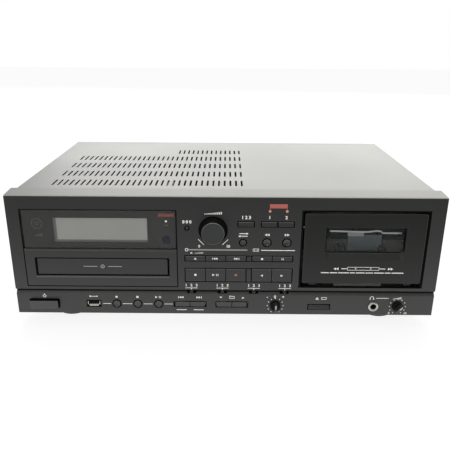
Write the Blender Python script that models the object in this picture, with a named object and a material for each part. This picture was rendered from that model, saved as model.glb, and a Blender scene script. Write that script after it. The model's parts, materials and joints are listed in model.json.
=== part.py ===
"""A hi-fi CD recorder and cassette deck, one object for each piece. Metres, +Z up, front towards -Y.

The origin is the bottom centre of the whole object. Depths are measured back from the upper face
of the front panel, and drops are measured down from that face's top edge.
"""

import math

import bmesh
import bpy

# Fits and finish
SEAT_GAP = 0.0003
RUN_GAP = 0.0004
CUT_OVERRUN = 0.002
CORNER_STEPS = 3
SMALL_ROUND_STEPS = 20
LARGE_ROUND_STEPS = 32
SMOOTH_ANGLE_DEG = 35

# What the deck takes: a disc lying in the recess of its tray, and a compact cassette
DISC_RECESS_RADIUS = 0.061
CASSETTE_WIDTH = 0.1004
CASSETTE_HEIGHT = 0.0638
CASSETTE_THICKNESS = 0.0087

# Disc tray and its front
TRAY_EDGE = 0.004
TRAY_WIDTH = 2 * (DISC_RECESS_RADIUS + TRAY_EDGE)
TRAY_FRONT_LAND = 0.017
TRAY_REAR_LAND = 0.021
DISC_CENTRE_DEPTH = TRAY_FRONT_LAND + DISC_RECESS_RADIUS
TRAY_LENGTH = DISC_CENTRE_DEPTH + DISC_RECESS_RADIUS + TRAY_REAR_LAND
TRAY_THICKNESS = 0.011
TRAY_RADIUS = 0.006
DISC_RECESS_DEPTH = 0.0045
TRAY_SLOT_WIDTH = 0.036
TRAY_SLOT_FRONT = 0.02
TRAY_SLOT_LENGTH = 0.064
TRAY_FRONT_OVERLAP = 0.002
TRAY_FRONT_WIDTH = TRAY_WIDTH + 2 * TRAY_FRONT_OVERLAP
TRAY_FRONT_HEIGHT = 0.0175
TRAY_FRONT_THICKNESS = 0.0032
TRAY_FRONT_SETBACK = 0.0008
TRAY_FRONT_RADIUS = 0.001
TRAY_POCKET_MARGIN = 0.0014
TRAY_POCKET_DEPTH = 0.0015

# Disc section of the front panel: an outline groove around the display window and the tray slot
DISC_GROOVE_WIDTH = 0.001
DISC_GROOVE_DEPTH = 0.0012
TRAY_LEFT_MARGIN = 0.012
TRAY_RIGHT_MARGIN = 0.01
TRAY_TOP_MARGIN = 0.011
TRAY_FOOT_MARGIN = 0.0135
WINDOW_HEIGHT = 0.041
WINDOW_THICKNESS = 0.0018
WINDOW_LEDGE = 0.004
WINDOW_RADIUS = 0.001
DISC_PANEL_WIDTH = TRAY_LEFT_MARGIN + TRAY_FRONT_WIDTH + TRAY_RIGHT_MARGIN
DISC_PANEL_HEIGHT = DISC_GROOVE_WIDTH + WINDOW_HEIGHT + TRAY_TOP_MARGIN + TRAY_FRONT_HEIGHT + TRAY_FOOT_MARGIN
DISPLAY_SIDE_MARGIN = 0.025
DISPLAY_TOP_MARGIN = 0.0045
DISPLAY_FOOT_MARGIN = 0.0055
DISPLAY_DEPTH = 0.0045

# Keys in two rows: three for the disc beside two for the tape
DISC_KEY_COUNT = 3
TAPE_KEY_COUNT = 2
KEY_WIDTH = 0.0202
KEY_GAP = 0.0005
KEY_PITCH = KEY_WIDTH + KEY_GAP
KEY_GROUP_GAP = 0.00625
DISC_KEYS_WIDTH = DISC_KEY_COUNT * KEY_PITCH - KEY_GAP
TAPE_KEYS_WIDTH = TAPE_KEY_COUNT * KEY_PITCH - KEY_GAP
KEY_FIELD_WIDTH = DISC_KEYS_WIDTH + KEY_GROUP_GAP + TAPE_KEYS_WIDTH
SLIM_KEY_HEIGHT = 0.005
LARGE_KEY_HEIGHT = 0.014
SLIM_KEY_DROP_SHARE = 0.6453
LARGE_KEY_DROP_SHARE = 0.8275
KEY_PROUD = 0.0003

# Cassette holder and door
HOLDER_SIDE_PLAY = 0.0006
HOLDER_WALL = 0.002
HOLDER_WIDTH = CASSETTE_WIDTH + 2 * (HOLDER_SIDE_PLAY + HOLDER_WALL)
HOLDER_PLATE = 0.0008
HOLDER_LIP = 0.0038
HOLDER_STOP = 0.0055
HOLDER_STOP_THICKNESS = 0.0018
DOOR_SIDE_MARGIN = 0.00805
DOOR_WIDTH = HOLDER_WIDTH + 2 * DOOR_SIDE_MARGIN
DOOR_PROUD = 0.0015
DOOR_BACK_DEPTH = 0.0015
DOOR_EDGE = 0.0008
DOOR_RADIUS = 0.002
DOOR_POCKET_MARGIN = 0.0029
DOOR_POCKET_FOOT = 0.0026
DOOR_POCKET_DEPTH = 0.0018
DOOR_OPENING_MARGIN = 0.0006
DOOR_OPENING_FOOT = 0.0045
DOOR_SIGHT_WIDTH = 0.08
DOOR_SIGHT_HEIGHT = 0.035
DOOR_SIGHT_BACK_HEIGHT = 0.0275
DOOR_SIGHT_RADIUS = 0.004
DOOR_SIGHT_TOP = 0.0147
DOOR_SIGHT_X_SHARE = 0.007
DOOR_GLASS_THICKNESS = 0.0014
DOOR_GLASS_MARGIN = 0.003

# The upper face from left to right: disc section, keys, cassette door
FACE_LEFT_MARGIN = 0.013
KEY_FIELD_LEFT_GAP = 0.0077
KEY_FIELD_RIGHT_GAP = 0.0075
FACE_RIGHT_MARGIN = 0.01455
DOOR_POCKET_WIDTH = DOOR_WIDTH + 2 * DOOR_POCKET_MARGIN
KEY_FIELD_SPAN = KEY_FIELD_LEFT_GAP + KEY_FIELD_WIDTH + KEY_FIELD_RIGHT_GAP
FASCIA_WIDTH = FACE_LEFT_MARGIN + DISC_PANEL_WIDTH + KEY_FIELD_SPAN + DOOR_POCKET_WIDTH + FACE_RIGHT_MARGIN
DISC_PANEL_LEFT = FACE_LEFT_MARGIN - FASCIA_WIDTH / 2
DISC_PANEL_X = DISC_PANEL_LEFT + DISC_PANEL_WIDTH / 2
TRAY_X = DISC_PANEL_LEFT + TRAY_LEFT_MARGIN + TRAY_FRONT_WIDTH / 2
KEY_FIELD_LEFT = DISC_PANEL_LEFT + DISC_PANEL_WIDTH + KEY_FIELD_LEFT_GAP
KEY_FIELD_RIGHT = KEY_FIELD_LEFT + KEY_FIELD_WIDTH
DISC_KEYS_X = KEY_FIELD_LEFT + DISC_KEYS_WIDTH / 2
TAPE_KEYS_X = KEY_FIELD_RIGHT - TAPE_KEYS_WIDTH / 2
DOOR_X = FASCIA_WIDTH / 2 - FACE_RIGHT_MARGIN - DOOR_POCKET_WIDTH / 2

# The front panel from top to bottom: upper face, groove, set-back strip
PANEL_TOP_DROP = 0.014
PANEL_FOOT_MARGIN = 0.0035
GROOVE_HEIGHT = 0.0025
STRIP_HEIGHT = 0.0256
UPPER_FACE_HEIGHT = PANEL_TOP_DROP + DISC_PANEL_HEIGHT + PANEL_FOOT_MARGIN
GROOVE_FOOT_DROP = UPPER_FACE_HEIGHT + GROOVE_HEIGHT
FASCIA_HEIGHT = GROOVE_FOOT_DROP + STRIP_HEIGHT
WINDOW_TOP_DROP = PANEL_TOP_DROP + DISC_GROOVE_WIDTH
TRAY_DROP = WINDOW_TOP_DROP + WINDOW_HEIGHT + TRAY_TOP_MARGIN + TRAY_FRONT_HEIGHT / 2
DOOR_TOP_INSET = 0.0023
DOOR_FOOT_INSET = 0.006
DOOR_HEIGHT = DISC_PANEL_HEIGHT - DOOR_TOP_INSET - DOOR_FOOT_INSET
DOOR_TOP_DROP = PANEL_TOP_DROP + DOOR_TOP_INSET
DOOR_FOOT_DROP = DOOR_TOP_DROP + DOOR_HEIGHT
CASSETTE_FOOT_RISE = 0.004
CASSETTE_FOOT_DROP = DOOR_FOOT_DROP - CASSETTE_FOOT_RISE
HINGE_FOOT_OFFSET = 0.0005
HINGE_DROP = DOOR_FOOT_DROP + HINGE_FOOT_OFFSET

# Walls and edges of the front panel
FASCIA_DEPTH = 0.0218
FASCIA_WALL = 0.003
FASCIA_EDGE = 0.0008
FASCIA_TOP_RISE = 0.0016
FASCIA_UNDERSIDE = 0.0138
GROOVE_DEPTH = 0.003
STRIP_SETBACK = 0.0009
STRIP_CHAMFER = 0.0025

# Cover, chassis and rear panel
CASE_DEPTH = 0.2634
COVER_STEP = 0.005
COVER_WIDTH = FASCIA_WIDTH - 2 * COVER_STEP
COVER_DROP = 0.0004
SHEET = 0.001
CHASSIS_TUCK = 0.01
CHASSIS_FLANGE = 0.03
REAR_PANEL_INSET = 0.002
REAR_PANEL_THICKNESS = 0.0012

# Vent slots in the cover
VENT_LENGTH = 0.021
VENT_WIDTH = 0.002
VENT_PITCH = 0.00595
VENT_FIELD_WIDTH = 0.1965
VENT_BACK_FIELD_WIDTH = 0.0775
VENT_ROW_PITCH = 0.0383
VENT_ROWS = 4
VENT_RIGHT_SHARE = 0.0379
VENT_FIRST_ROW_DEPTH = 0.045

# Feet
FOOT_RADIUS = 0.02
FOOT_TOP_RADIUS = 0.0165
FOOT_EDGE = 0.0015
FOOT_SIDE_SHARE = 0.39
FOOT_FRONT_SHARE = 0.16
FOOT_REAR_SHARE = 0.86

# Caps, flanges and pockets of the buttons
BUTTON_RADIUS = 0.0006
BUTTON_EDGE = 0.0004
BUTTON_FLANGE = 0.0012
BUTTON_FLANGE_THICKNESS = 0.0012
BUTTON_PLUNGER = 0.0016
BUTTON_PLUNGER_RADIUS = 0.0012
POCKET_MARGIN = 0.0009
POCKET_DEPTH = 0.001

# Buttons of the upper face, placed across the key field and down the face
ROUND_BUTTON_RADIUS = 0.004
REPEAT_BUTTON_RADIUS = 0.0033
RESET_BUTTON_RADIUS = 0.0018
SOURCE_BUTTON_WIDTH = 0.0155
SMALL_BUTTON_HEIGHT = 0.0046
MODE_BUTTON_WIDTH = 0.0152
MODE_BUTTON_PITCH = 0.0166
SOURCE_PLACE_SHARES = (0.5616, 0.2796)
MODE_PAIR_PLACE_SHARES = (0.8512, 0.2796)
RESET_PLACE_SHARES = (0.0212, 0.3251)
REPEAT_PLACE_SHARES = (0.536, 0.4729)
TAPE_SEARCH_PLACE_SHARES = ((0.7568, 0.4709), (0.9408, 0.4709))

# Lower strip: places across the panel's width and down the strip
STRIP_LINE_SHARE = 0.5469
SMALL_KNOB_LINE_SHARE = 0.5859
POWER_BUTTON_WIDTH = 0.0294
POWER_BUTTON_HEIGHT = 0.0085
POWER_BUTTON_PROUD = 0.004
POWER_PLACE_SHARES = (-0.4345, STRIP_LINE_SHARE)
SMALL_PROUD = 0.0006
LOWER_BUTTON_X_SHARES = (-0.2609, -0.2106, -0.1602)
ROCKER_HEIGHT = 0.0052
ROCKER_WIDTH = 0.0325
ROCKER_GAP = 0.0008
ROCKER_NECK_SHARE = 0.333
SKIP_ROCKER_PLACE_SHARES = (-0.0845, STRIP_LINE_SHARE)
FOLDER_ROCKER_PLACE_SHARES = (0.0161, STRIP_LINE_SHARE)
EJECT_BUTTON_WIDTH = 0.022
EJECT_BUTTON_HEIGHT = 0.0048
EJECT_PLACE_SHARES = (0.2259, 0.6328)
EJECT_PROUD = 0.0012

# Slide switches in the groove, placed across the key field
SWITCH_X_SHARES = (0.0532, 0.3476, 0.6464, 0.9408)
SWITCH_OFFSET = 0.0005
SWITCH_KNOB_WIDTH = 0.004
SWITCH_KNOB_HEIGHT = 0.0036
SWITCH_KNOB_SETBACK = 0.0006
SWITCH_TRAVEL = 0.0022
SWITCH_SLIDER_MARGIN = 0.0014
SWITCH_SLIDER_THICKNESS = 0.001

# Rotary knobs
LEVEL_PLACE_SHARES = (0.2604, 0.3448)
LEVEL_WELL_RADIUS = 0.0145
LEVEL_WELL_DEPTH = 0.0015
LEVEL_KNOB_RADIUS = 0.0129
LEVEL_KNOB_FACE_RADIUS = 0.0114
LEVEL_KNOB_PROUD = 0.0105
LEVEL_KNOB_EDGE = 0.0008
LEVEL_SHAFT_RADIUS = 0.003
PITCH_PLACE_SHARES = (0.1207, SMALL_KNOB_LINE_SHARE)
PHONES_LEVEL_PLACE_SHARES = (0.4149, SMALL_KNOB_LINE_SHARE)
SMALL_KNOB_RADIUS = 0.0055
SMALL_KNOB_PROUD = 0.008
SMALL_KNOB_SKIRT = 0.002
SMALL_KNOB_GRIP_WIDTH = 0.003
SMALL_KNOB_GRIP_SHARE = 1.667
SMALL_SHAFT_RADIUS = 0.002

# Sockets
JACK_PLACE_SHARES = (0.3563, SMALL_KNOB_LINE_SHARE)
JACK_RING_RADIUS = 0.0052
JACK_RING_PROUD = 0.0008
JACK_BODY_RADIUS = 0.0042
JACK_BORE_RADIUS = 0.0032
JACK_BORE_DEPTH = 0.014
JACK_LENGTH = 0.017
USB_PLACE_SHARES = (-0.3161, STRIP_LINE_SHARE)
USB_WIDTH = 0.0146
USB_HEIGHT = 0.0072
USB_WALL = 0.0006
USB_LENGTH = 0.014
USB_TONGUE_WIDTH = 0.011
USB_TONGUE_THICKNESS = 0.0019
USB_TONGUE_SETBACK = 0.0012

# Display and key board behind the front panel
BOARD_THICKNESS = 0.0016
BOARD_DEPTH = 0.008
BOARD_TOP_MARGIN = 0.001
BOARD_LEFT_MARGIN = 0.0018
BOARD_STEP_MARGIN = 0.0062
BOARD_RIGHT_MARGIN = 0.0051
BOARD_TRAY_MARGIN = 0.0041
BOARD_FOOT_MARGIN = 0.0056
BOARD_POST_RADIUS = 0.0018
BOARD_POST_INSET = 0.0025
BOARD_POST_NECK_RISE = 0.011
BOARD_POST_NECK_X = 0.002
BOARD_POST_EDGE_INSET = 0.0016
BOARD_POST_DROP_SHARES = (0.31, 0.729)
KEY_SWITCH_SIZE = 0.003
KEY_SWITCH_HEIGHT = 0.0006

# Hinge of the cassette holder
HINGE_DEPTH = 0.007
HINGE_PIN_RADIUS = 0.0018
HINGE_PIN_LENGTH = 0.0048
HINGE_EAR_WIDTH = 0.004
HINGE_EAR_REACH = 0.004
HINGE_EAR_SEAT = 0.0015
HINGE_EAR_GAP = 0.0015

# Tape mechanism
MECHANISM_PLATE = 0.0015
MECHANISM_DEPTH = 0.021
MECHANISM_SIDE_MARGIN = 0.0032
MECHANISM_WIDTH = HOLDER_WIDTH + 2 * MECHANISM_SIDE_MARGIN
MECHANISM_TOP_RISE = 0.002
MECHANISM_FOOT_LENGTH = 0.025
REEL_SPACING = 0.0425
REEL_HEIGHT_IN_CASSETTE = 0.0295
REEL_HUB_RADIUS = 0.0042
REEL_HUB_LENGTH = 0.013
REEL_SHAFT_RADIUS = 0.0015
REEL_DISC_RADIUS = 0.011
REEL_DISC_THICKNESS = 0.003
REEL_TEETH = 3
REEL_TOOTH_REACH = 0.0008
REEL_TOOTH_WIDTH = 0.0016
CAPSTAN_SPACING = 0.066
CAPSTAN_HEIGHT_IN_CASSETTE = 0.0078
CAPSTAN_RADIUS = 0.0011
CAPSTAN_REACH = 0.0125
FLYWHEEL_RADIUS = 0.027
FLYWHEEL_THICKNESS = 0.005
FLYWHEEL_GAP = 0.003
HEAD_WIDTH = 0.05
HEAD_HEIGHT = 0.012
HEAD_TOP_GAP = 0.002
HEAD_DEPTH = 0.0095
HEAD_CORE_WIDTH = 0.012
HEAD_CORE_RISE = 0.0015

# Disc drive
DRIVE_WALL = 0.003
DRIVE_FRONT_DEPTH = 0.026
DRIVE_REAR_MARGIN = 0.02
DRIVE_RAIL = 0.005
DRIVE_RAIL_THICKNESS = 0.0025
DRIVE_FLOOR_DROP = 0.0125
DRIVE_FLOOR_THICKNESS = 0.0025
DRIVE_TOP_RISE = 0.005
DRIVE_BRIDGE_LENGTH = 0.04
DRIVE_BRIDGE_THICKNESS = 0.002
DRIVE_LEG = 0.012
SPINDLE_HUB_RADIUS = 0.0145
SPINDLE_HUB_HEIGHT = 0.005
SPINDLE_CLEARANCE = 0.0012
SPINDLE_SHAFT_RADIUS = 0.0015
SPINDLE_BOSS_RADIUS = 0.006
SPINDLE_BOSS_DEPTH = 0.006

# Boards and transformer on the chassis
MAIN_BOARD_WIDTH = 0.1
MAIN_BOARD_FRONT_DEPTH = 0.055
MAIN_BOARD_REAR_MARGIN = 0.0264
MAIN_BOARD_X_SHARE = 0.04
MAIN_BOARD_LENGTH = CASE_DEPTH - REAR_PANEL_INSET - MAIN_BOARD_REAR_MARGIN - MAIN_BOARD_FRONT_DEPTH
STANDOFF_HEIGHT = 0.008
STANDOFF_RADIUS = 0.003
STANDOFF_INSET = 0.006
CAPACITOR_RADIUS = 0.009
CAPACITOR_HEIGHT = 0.026
CAPACITOR_SHARES = ((0.2, 0.7), (0.2, 0.84))
HEAT_SINK_SIZE = (0.05, 0.008, 0.035)
HEAT_SINK_SHARES = (0.65, 0.75)
CHIP_SIZE = (0.024, 0.024, 0.003)
CHIP_SHARES = (0.5, 0.35)
SOCKET_SIZE = (0.03, 0.007, 0.009)
SOCKET_SHARES = (0.35, 0.08)
TRANSFORMER_CORE = (0.062, 0.036, 0.052)
TRANSFORMER_WINDING = (0.044, 0.056, 0.034)
TRANSFORMER_FLANGE = (0.084, 0.03, 0.002)
TRANSFORMER_X_SHARE = 0.34
TRANSFORMER_DEPTH_SHARE = 0.72

# Rear jacks and mains inlet
REAR_JACK_PROUD = 0.01
REAR_JACK_PLATE = (0.074, 0.034, 0.0016)
REAR_JACK_RADIUS = 0.0042
REAR_JACK_BORE_RADIUS = 0.0016
REAR_JACK_BORE_DEPTH = 0.008
REAR_JACK_COLUMNS = 3
REAR_JACK_ROWS = 2
REAR_JACK_PITCH = 0.019
REAR_JACK_ROW_PITCH = 0.0165
REAR_JACK_X_SHARE = -0.31
REAR_JACK_HEIGHT_SHARE = 0.52
REAR_JACK_BODY_DEPTH = 0.01
INLET_X_SHARE = 0.38
INLET_HEIGHT_SHARE = 0.28
INLET_SIZE = (0.021, 0.0145)
INLET_FLANGE = 0.0025
INLET_FLANGE_THICKNESS = 0.0015
INLET_LENGTH = 0.016
INLET_MOUTH = (0.0125, 0.0082)
INLET_MOUTH_RADIUS = 0.0027
INLET_MOUTH_DEPTH = 0.011
INLET_PIN_RADIUS = 0.0012
INLET_PIN_PITCH = 0.0066
INLET_PIN_LENGTH = 0.0085

# Levels and depths that follow from the sizes above
FRONT_Y = LEVEL_KNOB_PROUD - (LEVEL_KNOB_PROUD + CASE_DEPTH + REAR_JACK_PROUD) / 2
FACE_TOP_Z = FASCIA_UNDERSIDE + FASCIA_HEIGHT
CHASSIS_Z = FASCIA_UNDERSIDE + FASCIA_WALL + SEAT_GAP
CHASSIS_TOP_Z = CHASSIS_Z + SHEET
COVER_TOP_Z = FACE_TOP_Z + FASCIA_TOP_RISE - COVER_DROP
WALL_BACK = FASCIA_WALL
WEB_BACK = GROOVE_DEPTH + FASCIA_WALL
STRIP_BACK = STRIP_SETBACK + FASCIA_WALL
MECHANISM_BACK = MECHANISM_DEPTH + MECHANISM_PLATE
REAR_FACE_DEPTH = CASE_DEPTH - REAR_PANEL_INSET


def across(share):
    return share * FASCIA_WIDTH


def down(drop):
    """The height of a place on the front panel, from its drop below the panel's top edge."""
    return FACE_TOP_Z - drop


def at(depth):
    return FRONT_Y + depth


def on_upper_face(shares):
    """A place on the upper face, from its shares of the key field's width and of the face's height."""
    return (KEY_FIELD_LEFT + shares[0] * KEY_FIELD_WIDTH, down(shares[1] * UPPER_FACE_HEIGHT))


def on_strip(shares):
    """A place on the lower strip, from its shares of the panel's width and of the strip's height."""
    return (across(shares[0]), down(GROOVE_FOOT_DROP + shares[1] * STRIP_HEIGHT))


def make_material(name, colour, roughness, metallic=0.0, alpha=1.0):
    material = bpy.data.materials.new(name)
    material.use_nodes = True
    shader = material.node_tree.nodes["Principled BSDF"]
    shader.inputs["Base Color"].default_value = (*colour, 1.0)
    shader.inputs["Roughness"].default_value = roughness
    shader.inputs["Metallic"].default_value = metallic
    shader.inputs["Alpha"].default_value = alpha
    material.diffuse_color = (*colour, 1.0)
    return material


# Outlines, all centred on zero


def box_outline(width, height):
    return [
        (width / 2, height / 2),
        (-width / 2, height / 2),
        (-width / 2, -height / 2),
        (width / 2, -height / 2),
    ]


def round_outline(radius, steps=SMALL_ROUND_STEPS):
    return [
        (radius * math.cos(math.tau * step / steps), radius * math.sin(math.tau * step / steps))
        for step in range(steps)
    ]


def soft_outline(width, height, radius, steps=CORNER_STEPS):
    """A rectangle with round corners."""
    points = []
    for quarter, (side, rise) in enumerate(((1, 1), (-1, 1), (-1, -1), (1, -1))):
        for step in range(steps + 1):
            angle = math.pi / 2 * (quarter + step / steps)
            points.append(
                (
                    side * (width / 2 - radius) + radius * math.cos(angle),
                    rise * (height / 2 - radius) + radius * math.sin(angle),
                )
            )
    return points


def placed(outline, axis, level, centre=(0, 0)):
    """The outline's points in space, at a level along the axis that it is square to."""
    points = []
    for first, second in outline:
        first += centre[0]
        second += centre[1]
        if axis == "X":
            points.append((level, first, second))
        elif axis == "Y":
            points.append((first, level, second))
        else:
            points.append((first, second, level))
    return points


# Solids


def loft(rings):
    """A closed solid through rings of equally many points, with flat ends."""
    bm = bmesh.new()
    loops = [[bm.verts.new(point) for point in ring] for ring in rings]
    for near, far in zip(loops, loops[1:]):
        for index, vertex in enumerate(near):
            following = (index + 1) % len(near)
            bm.faces.new((vertex, near[following], far[following], far[index]))
    bm.faces.new(loops[0])
    bm.faces.new(loops[-1])
    bmesh.ops.recalc_face_normals(bm, faces=bm.faces)
    return bm


def prism(outline, axis, low, high, centre=(0, 0)):
    return loft([placed(outline, axis, low, centre), placed(outline, axis, high, centre)])


def block(x_range, y_range, z_range):
    corners = ((0, 0), (1, 0), (1, 1), (0, 1))
    return loft([[(x_range[i], y_range[j], z) for i, j in corners] for z in z_range])


def centred(middle, size):
    return (middle - size / 2, middle + size / 2)


def turned(profile, axis, centre, steps=SMALL_ROUND_STEPS):
    """A turned solid: the profile lists (radius, level) from one flat end to the other."""
    return loft([placed(round_outline(radius, steps), axis, level, centre) for radius, level in profile])


def joined(solids):
    """Several solids that don't touch each other, as one mesh."""
    whole = bmesh.new()
    for solid in solids:
        mesh = bpy.data.meshes.new("joined")
        solid.to_mesh(mesh)
        solid.free()
        whole.from_mesh(mesh)
        bpy.data.meshes.remove(mesh)
    return whole


def make_piece(name, solid, material, pivot=(0, 0, 0)):
    """An object whose origin is the pivot, from a solid in world places."""
    bmesh.ops.translate(solid, verts=solid.verts, vec=[-value for value in pivot])
    mesh = bpy.data.meshes.new(name)
    solid.to_mesh(mesh)
    solid.free()
    mesh.materials.append(material)
    piece = bpy.data.objects.new(name, mesh)
    piece.location = pivot
    bpy.context.scene.collection.objects.link(piece)
    smooth(mesh)
    return piece


def smooth(mesh):
    mesh.shade_smooth()
    mesh.set_sharp_from_angle(angle=math.radians(SMOOTH_ANGLE_DEG))


def combine(piece, solids, operation):
    """Joins the solids to the piece, or cuts them from it, one after another."""
    helpers = []
    for solid in solids:
        mesh = bpy.data.meshes.new("helper")
        solid.to_mesh(mesh)
        solid.free()
        helper = bpy.data.objects.new("helper", mesh)
        helper.hide_render = True
        helper.display_type = "WIRE"
        bpy.context.scene.collection.objects.link(helper)
        modifier = piece.modifiers.new("shape", "BOOLEAN")
        modifier.operation = operation
        modifier.solver = "EXACT"
        modifier.object = helper
        helpers.append(helper)
    bpy.context.view_layer.update()
    graph = bpy.context.evaluated_depsgraph_get()
    plain = piece.data
    piece.data = bpy.data.meshes.new_from_object(piece.evaluated_get(graph))
    piece.data.name = piece.name
    piece.modifiers.clear()
    bpy.data.meshes.remove(plain)
    for helper in helpers:
        mesh = helper.data
        bpy.data.objects.remove(helper)
        bpy.data.meshes.remove(mesh)
    smooth(piece.data)
    return piece


def add(piece, *solids):
    return combine(piece, solids, "UNION")


def cut(piece, *solids):
    return combine(piece, solids, "DIFFERENCE")


# Front panel


def fascia_outline():
    """Side view of the front panel, as depth and height."""
    groove_top = down(UPPER_FACE_HEIGHT)
    groove_foot = down(GROOVE_FOOT_DROP)
    return [
        (0, groove_top + FASCIA_EDGE),
        (0, FACE_TOP_Z - FASCIA_EDGE),
        (FASCIA_EDGE, FACE_TOP_Z),
        (FASCIA_DEPTH, FACE_TOP_Z + FASCIA_TOP_RISE),
        (FASCIA_DEPTH, FASCIA_UNDERSIDE),
        (STRIP_SETBACK + FASCIA_EDGE, FASCIA_UNDERSIDE),
        (STRIP_SETBACK, FASCIA_UNDERSIDE + FASCIA_EDGE),
        (STRIP_SETBACK, groove_foot - STRIP_CHAMFER),
        (GROOVE_DEPTH, groove_foot),
        (GROOVE_DEPTH, groove_top),
        (FASCIA_EDGE, groove_top),
    ]


def fascia_hollow_outline():
    """The hollow behind the front wall, which steps back behind the groove."""
    web_top = down(UPPER_FACE_HEIGHT - FASCIA_WALL)
    web_foot = down(GROOVE_FOOT_DROP + STRIP_CHAMFER + FASCIA_WALL)
    ceiling = FACE_TOP_Z - FASCIA_WALL
    floor = FASCIA_UNDERSIDE + FASCIA_WALL
    back = FASCIA_DEPTH + CUT_OVERRUN
    return [
        (WALL_BACK, ceiling),
        (back, ceiling),
        (back, floor),
        (STRIP_BACK, floor),
        (STRIP_BACK, web_foot),
        (WEB_BACK, web_foot),
        (WEB_BACK, web_top),
        (WALL_BACK, web_top),
    ]


def from_depth(outline):
    return [(at(depth), height) for depth, height in outline]


def panel_hole(outline, place, depth_from, depth_to):
    return prism(outline, "Y", at(depth_from), at(depth_to), place)


def through_face(outline, place):
    return panel_hole(outline, place, -CUT_OVERRUN, WEB_BACK + CUT_OVERRUN)


def grown(size, margin):
    return size + 2 * margin


def seat_outline(size, margin):
    """The outline around a button, whose size is (width, height) or a radius."""
    if isinstance(size, tuple):
        return box_outline(grown(size[0], margin), grown(size[1], margin))
    return round_outline(size + margin)


def disc_panel_place():
    return (DISC_PANEL_X, down(PANEL_TOP_DROP + DISC_PANEL_HEIGHT / 2))


def window_size():
    return (grown(DISC_PANEL_WIDTH, -DISC_GROOVE_WIDTH), WINDOW_HEIGHT)


def window_place():
    return (DISC_PANEL_X, down(WINDOW_TOP_DROP + WINDOW_HEIGHT / 2))


def tray_place():
    return (TRAY_X, down(TRAY_DROP))


def door_place():
    return (DOOR_X, down(DOOR_TOP_DROP + DOOR_HEIGHT / 2))


def key_rows():
    """Each group of keys: its place, its width, its key height and how many stand side by side."""
    slim = down(SLIM_KEY_DROP_SHARE * UPPER_FACE_HEIGHT)
    large = down(LARGE_KEY_DROP_SHARE * UPPER_FACE_HEIGHT)
    return (
        ((DISC_KEYS_X, slim), DISC_KEYS_WIDTH, SLIM_KEY_HEIGHT, DISC_KEY_COUNT),
        ((TAPE_KEYS_X, slim), TAPE_KEYS_WIDTH, SLIM_KEY_HEIGHT, TAPE_KEY_COUNT),
        ((DISC_KEYS_X, large), DISC_KEYS_WIDTH, LARGE_KEY_HEIGHT, DISC_KEY_COUNT),
        ((TAPE_KEYS_X, large), TAPE_KEYS_WIDTH, LARGE_KEY_HEIGHT, TAPE_KEY_COUNT),
    )


def upper_seats():
    """Every button or group of buttons on the upper face: its size and place."""
    pair_width = MODE_BUTTON_PITCH + MODE_BUTTON_WIDTH
    return [
        *(((width, height), place) for place, width, height, _ in key_rows()),
        (RESET_BUTTON_RADIUS, on_upper_face(RESET_PLACE_SHARES)),
        (REPEAT_BUTTON_RADIUS, on_upper_face(REPEAT_PLACE_SHARES)),
        ((SOURCE_BUTTON_WIDTH, SMALL_BUTTON_HEIGHT), on_upper_face(SOURCE_PLACE_SHARES)),
        ((pair_width, SMALL_BUTTON_HEIGHT), on_upper_face(MODE_PAIR_PLACE_SHARES)),
        *((ROUND_BUTTON_RADIUS, on_upper_face(shares)) for shares in TAPE_SEARCH_PLACE_SHARES),
    ]


def switch_places():
    height = down(UPPER_FACE_HEIGHT + GROOVE_HEIGHT / 2 + SWITCH_OFFSET)
    return [(KEY_FIELD_LEFT + share * KEY_FIELD_WIDTH, height) for share in SWITCH_X_SHARES]


def strip_seats():
    """Every button and rocker on the lower strip: its size and place."""
    return [
        ((POWER_BUTTON_WIDTH, POWER_BUTTON_HEIGHT), on_strip(POWER_PLACE_SHARES)),
        ((ROCKER_WIDTH, ROCKER_HEIGHT), on_strip(SKIP_ROCKER_PLACE_SHARES)),
        ((ROCKER_WIDTH, ROCKER_HEIGHT), on_strip(FOLDER_ROCKER_PLACE_SHARES)),
        ((EJECT_BUTTON_WIDTH, EJECT_BUTTON_HEIGHT), on_strip(EJECT_PLACE_SHARES)),
        *((ROUND_BUTTON_RADIUS, on_strip((share, STRIP_LINE_SHARE))) for share in LOWER_BUTTON_X_SHARES),
    ]


def plain_holes():
    """The holes that have no pocket around them, for the sockets and the shafts of the knobs."""
    return [
        (seat_outline((USB_WIDTH, USB_HEIGHT), RUN_GAP), on_strip(USB_PLACE_SHARES)),
        (round_outline(JACK_BODY_RADIUS + SEAT_GAP), on_strip(JACK_PLACE_SHARES)),
        (round_outline(SMALL_SHAFT_RADIUS + RUN_GAP), on_strip(PITCH_PLACE_SHARES)),
        (round_outline(SMALL_SHAFT_RADIUS + RUN_GAP), on_strip(PHONES_LEVEL_PLACE_SHARES)),
        (round_outline(LEVEL_SHAFT_RADIUS + RUN_GAP), on_upper_face(LEVEL_PLACE_SHARES)),
    ]


def hinge_height():
    return down(HINGE_DROP)


def hinge_ears():
    """Two ears behind the foot of the door opening, bored for the hinge pins of the holder."""
    reach = (HOLDER_WIDTH + HINGE_EAR_WIDTH) / 2 + HINGE_EAR_GAP
    levels = (down(UPPER_FACE_HEIGHT + HINGE_EAR_SEAT), hinge_height() + HINGE_EAR_REACH)
    depths = (at(WALL_BACK + SEAT_GAP), at(HINGE_DEPTH + HINGE_EAR_REACH))
    return [block(centred(DOOR_X + side * reach, HINGE_EAR_WIDTH), depths, levels) for side in (-1, 1)]


def hinge_bores():
    centre = (at(HINGE_DEPTH), hinge_height())
    outline = round_outline(HINGE_PIN_RADIUS + SEAT_GAP)
    reach = (HOLDER_WIDTH + HINGE_EAR_WIDTH) / 2 + HINGE_EAR_GAP
    bores = []
    for side in (-1, 1):
        low, high = centred(DOOR_X + side * reach, HINGE_EAR_WIDTH + CUT_OVERRUN)
        bores.append(prism(outline, "X", low, high, centre))
    return bores


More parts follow.
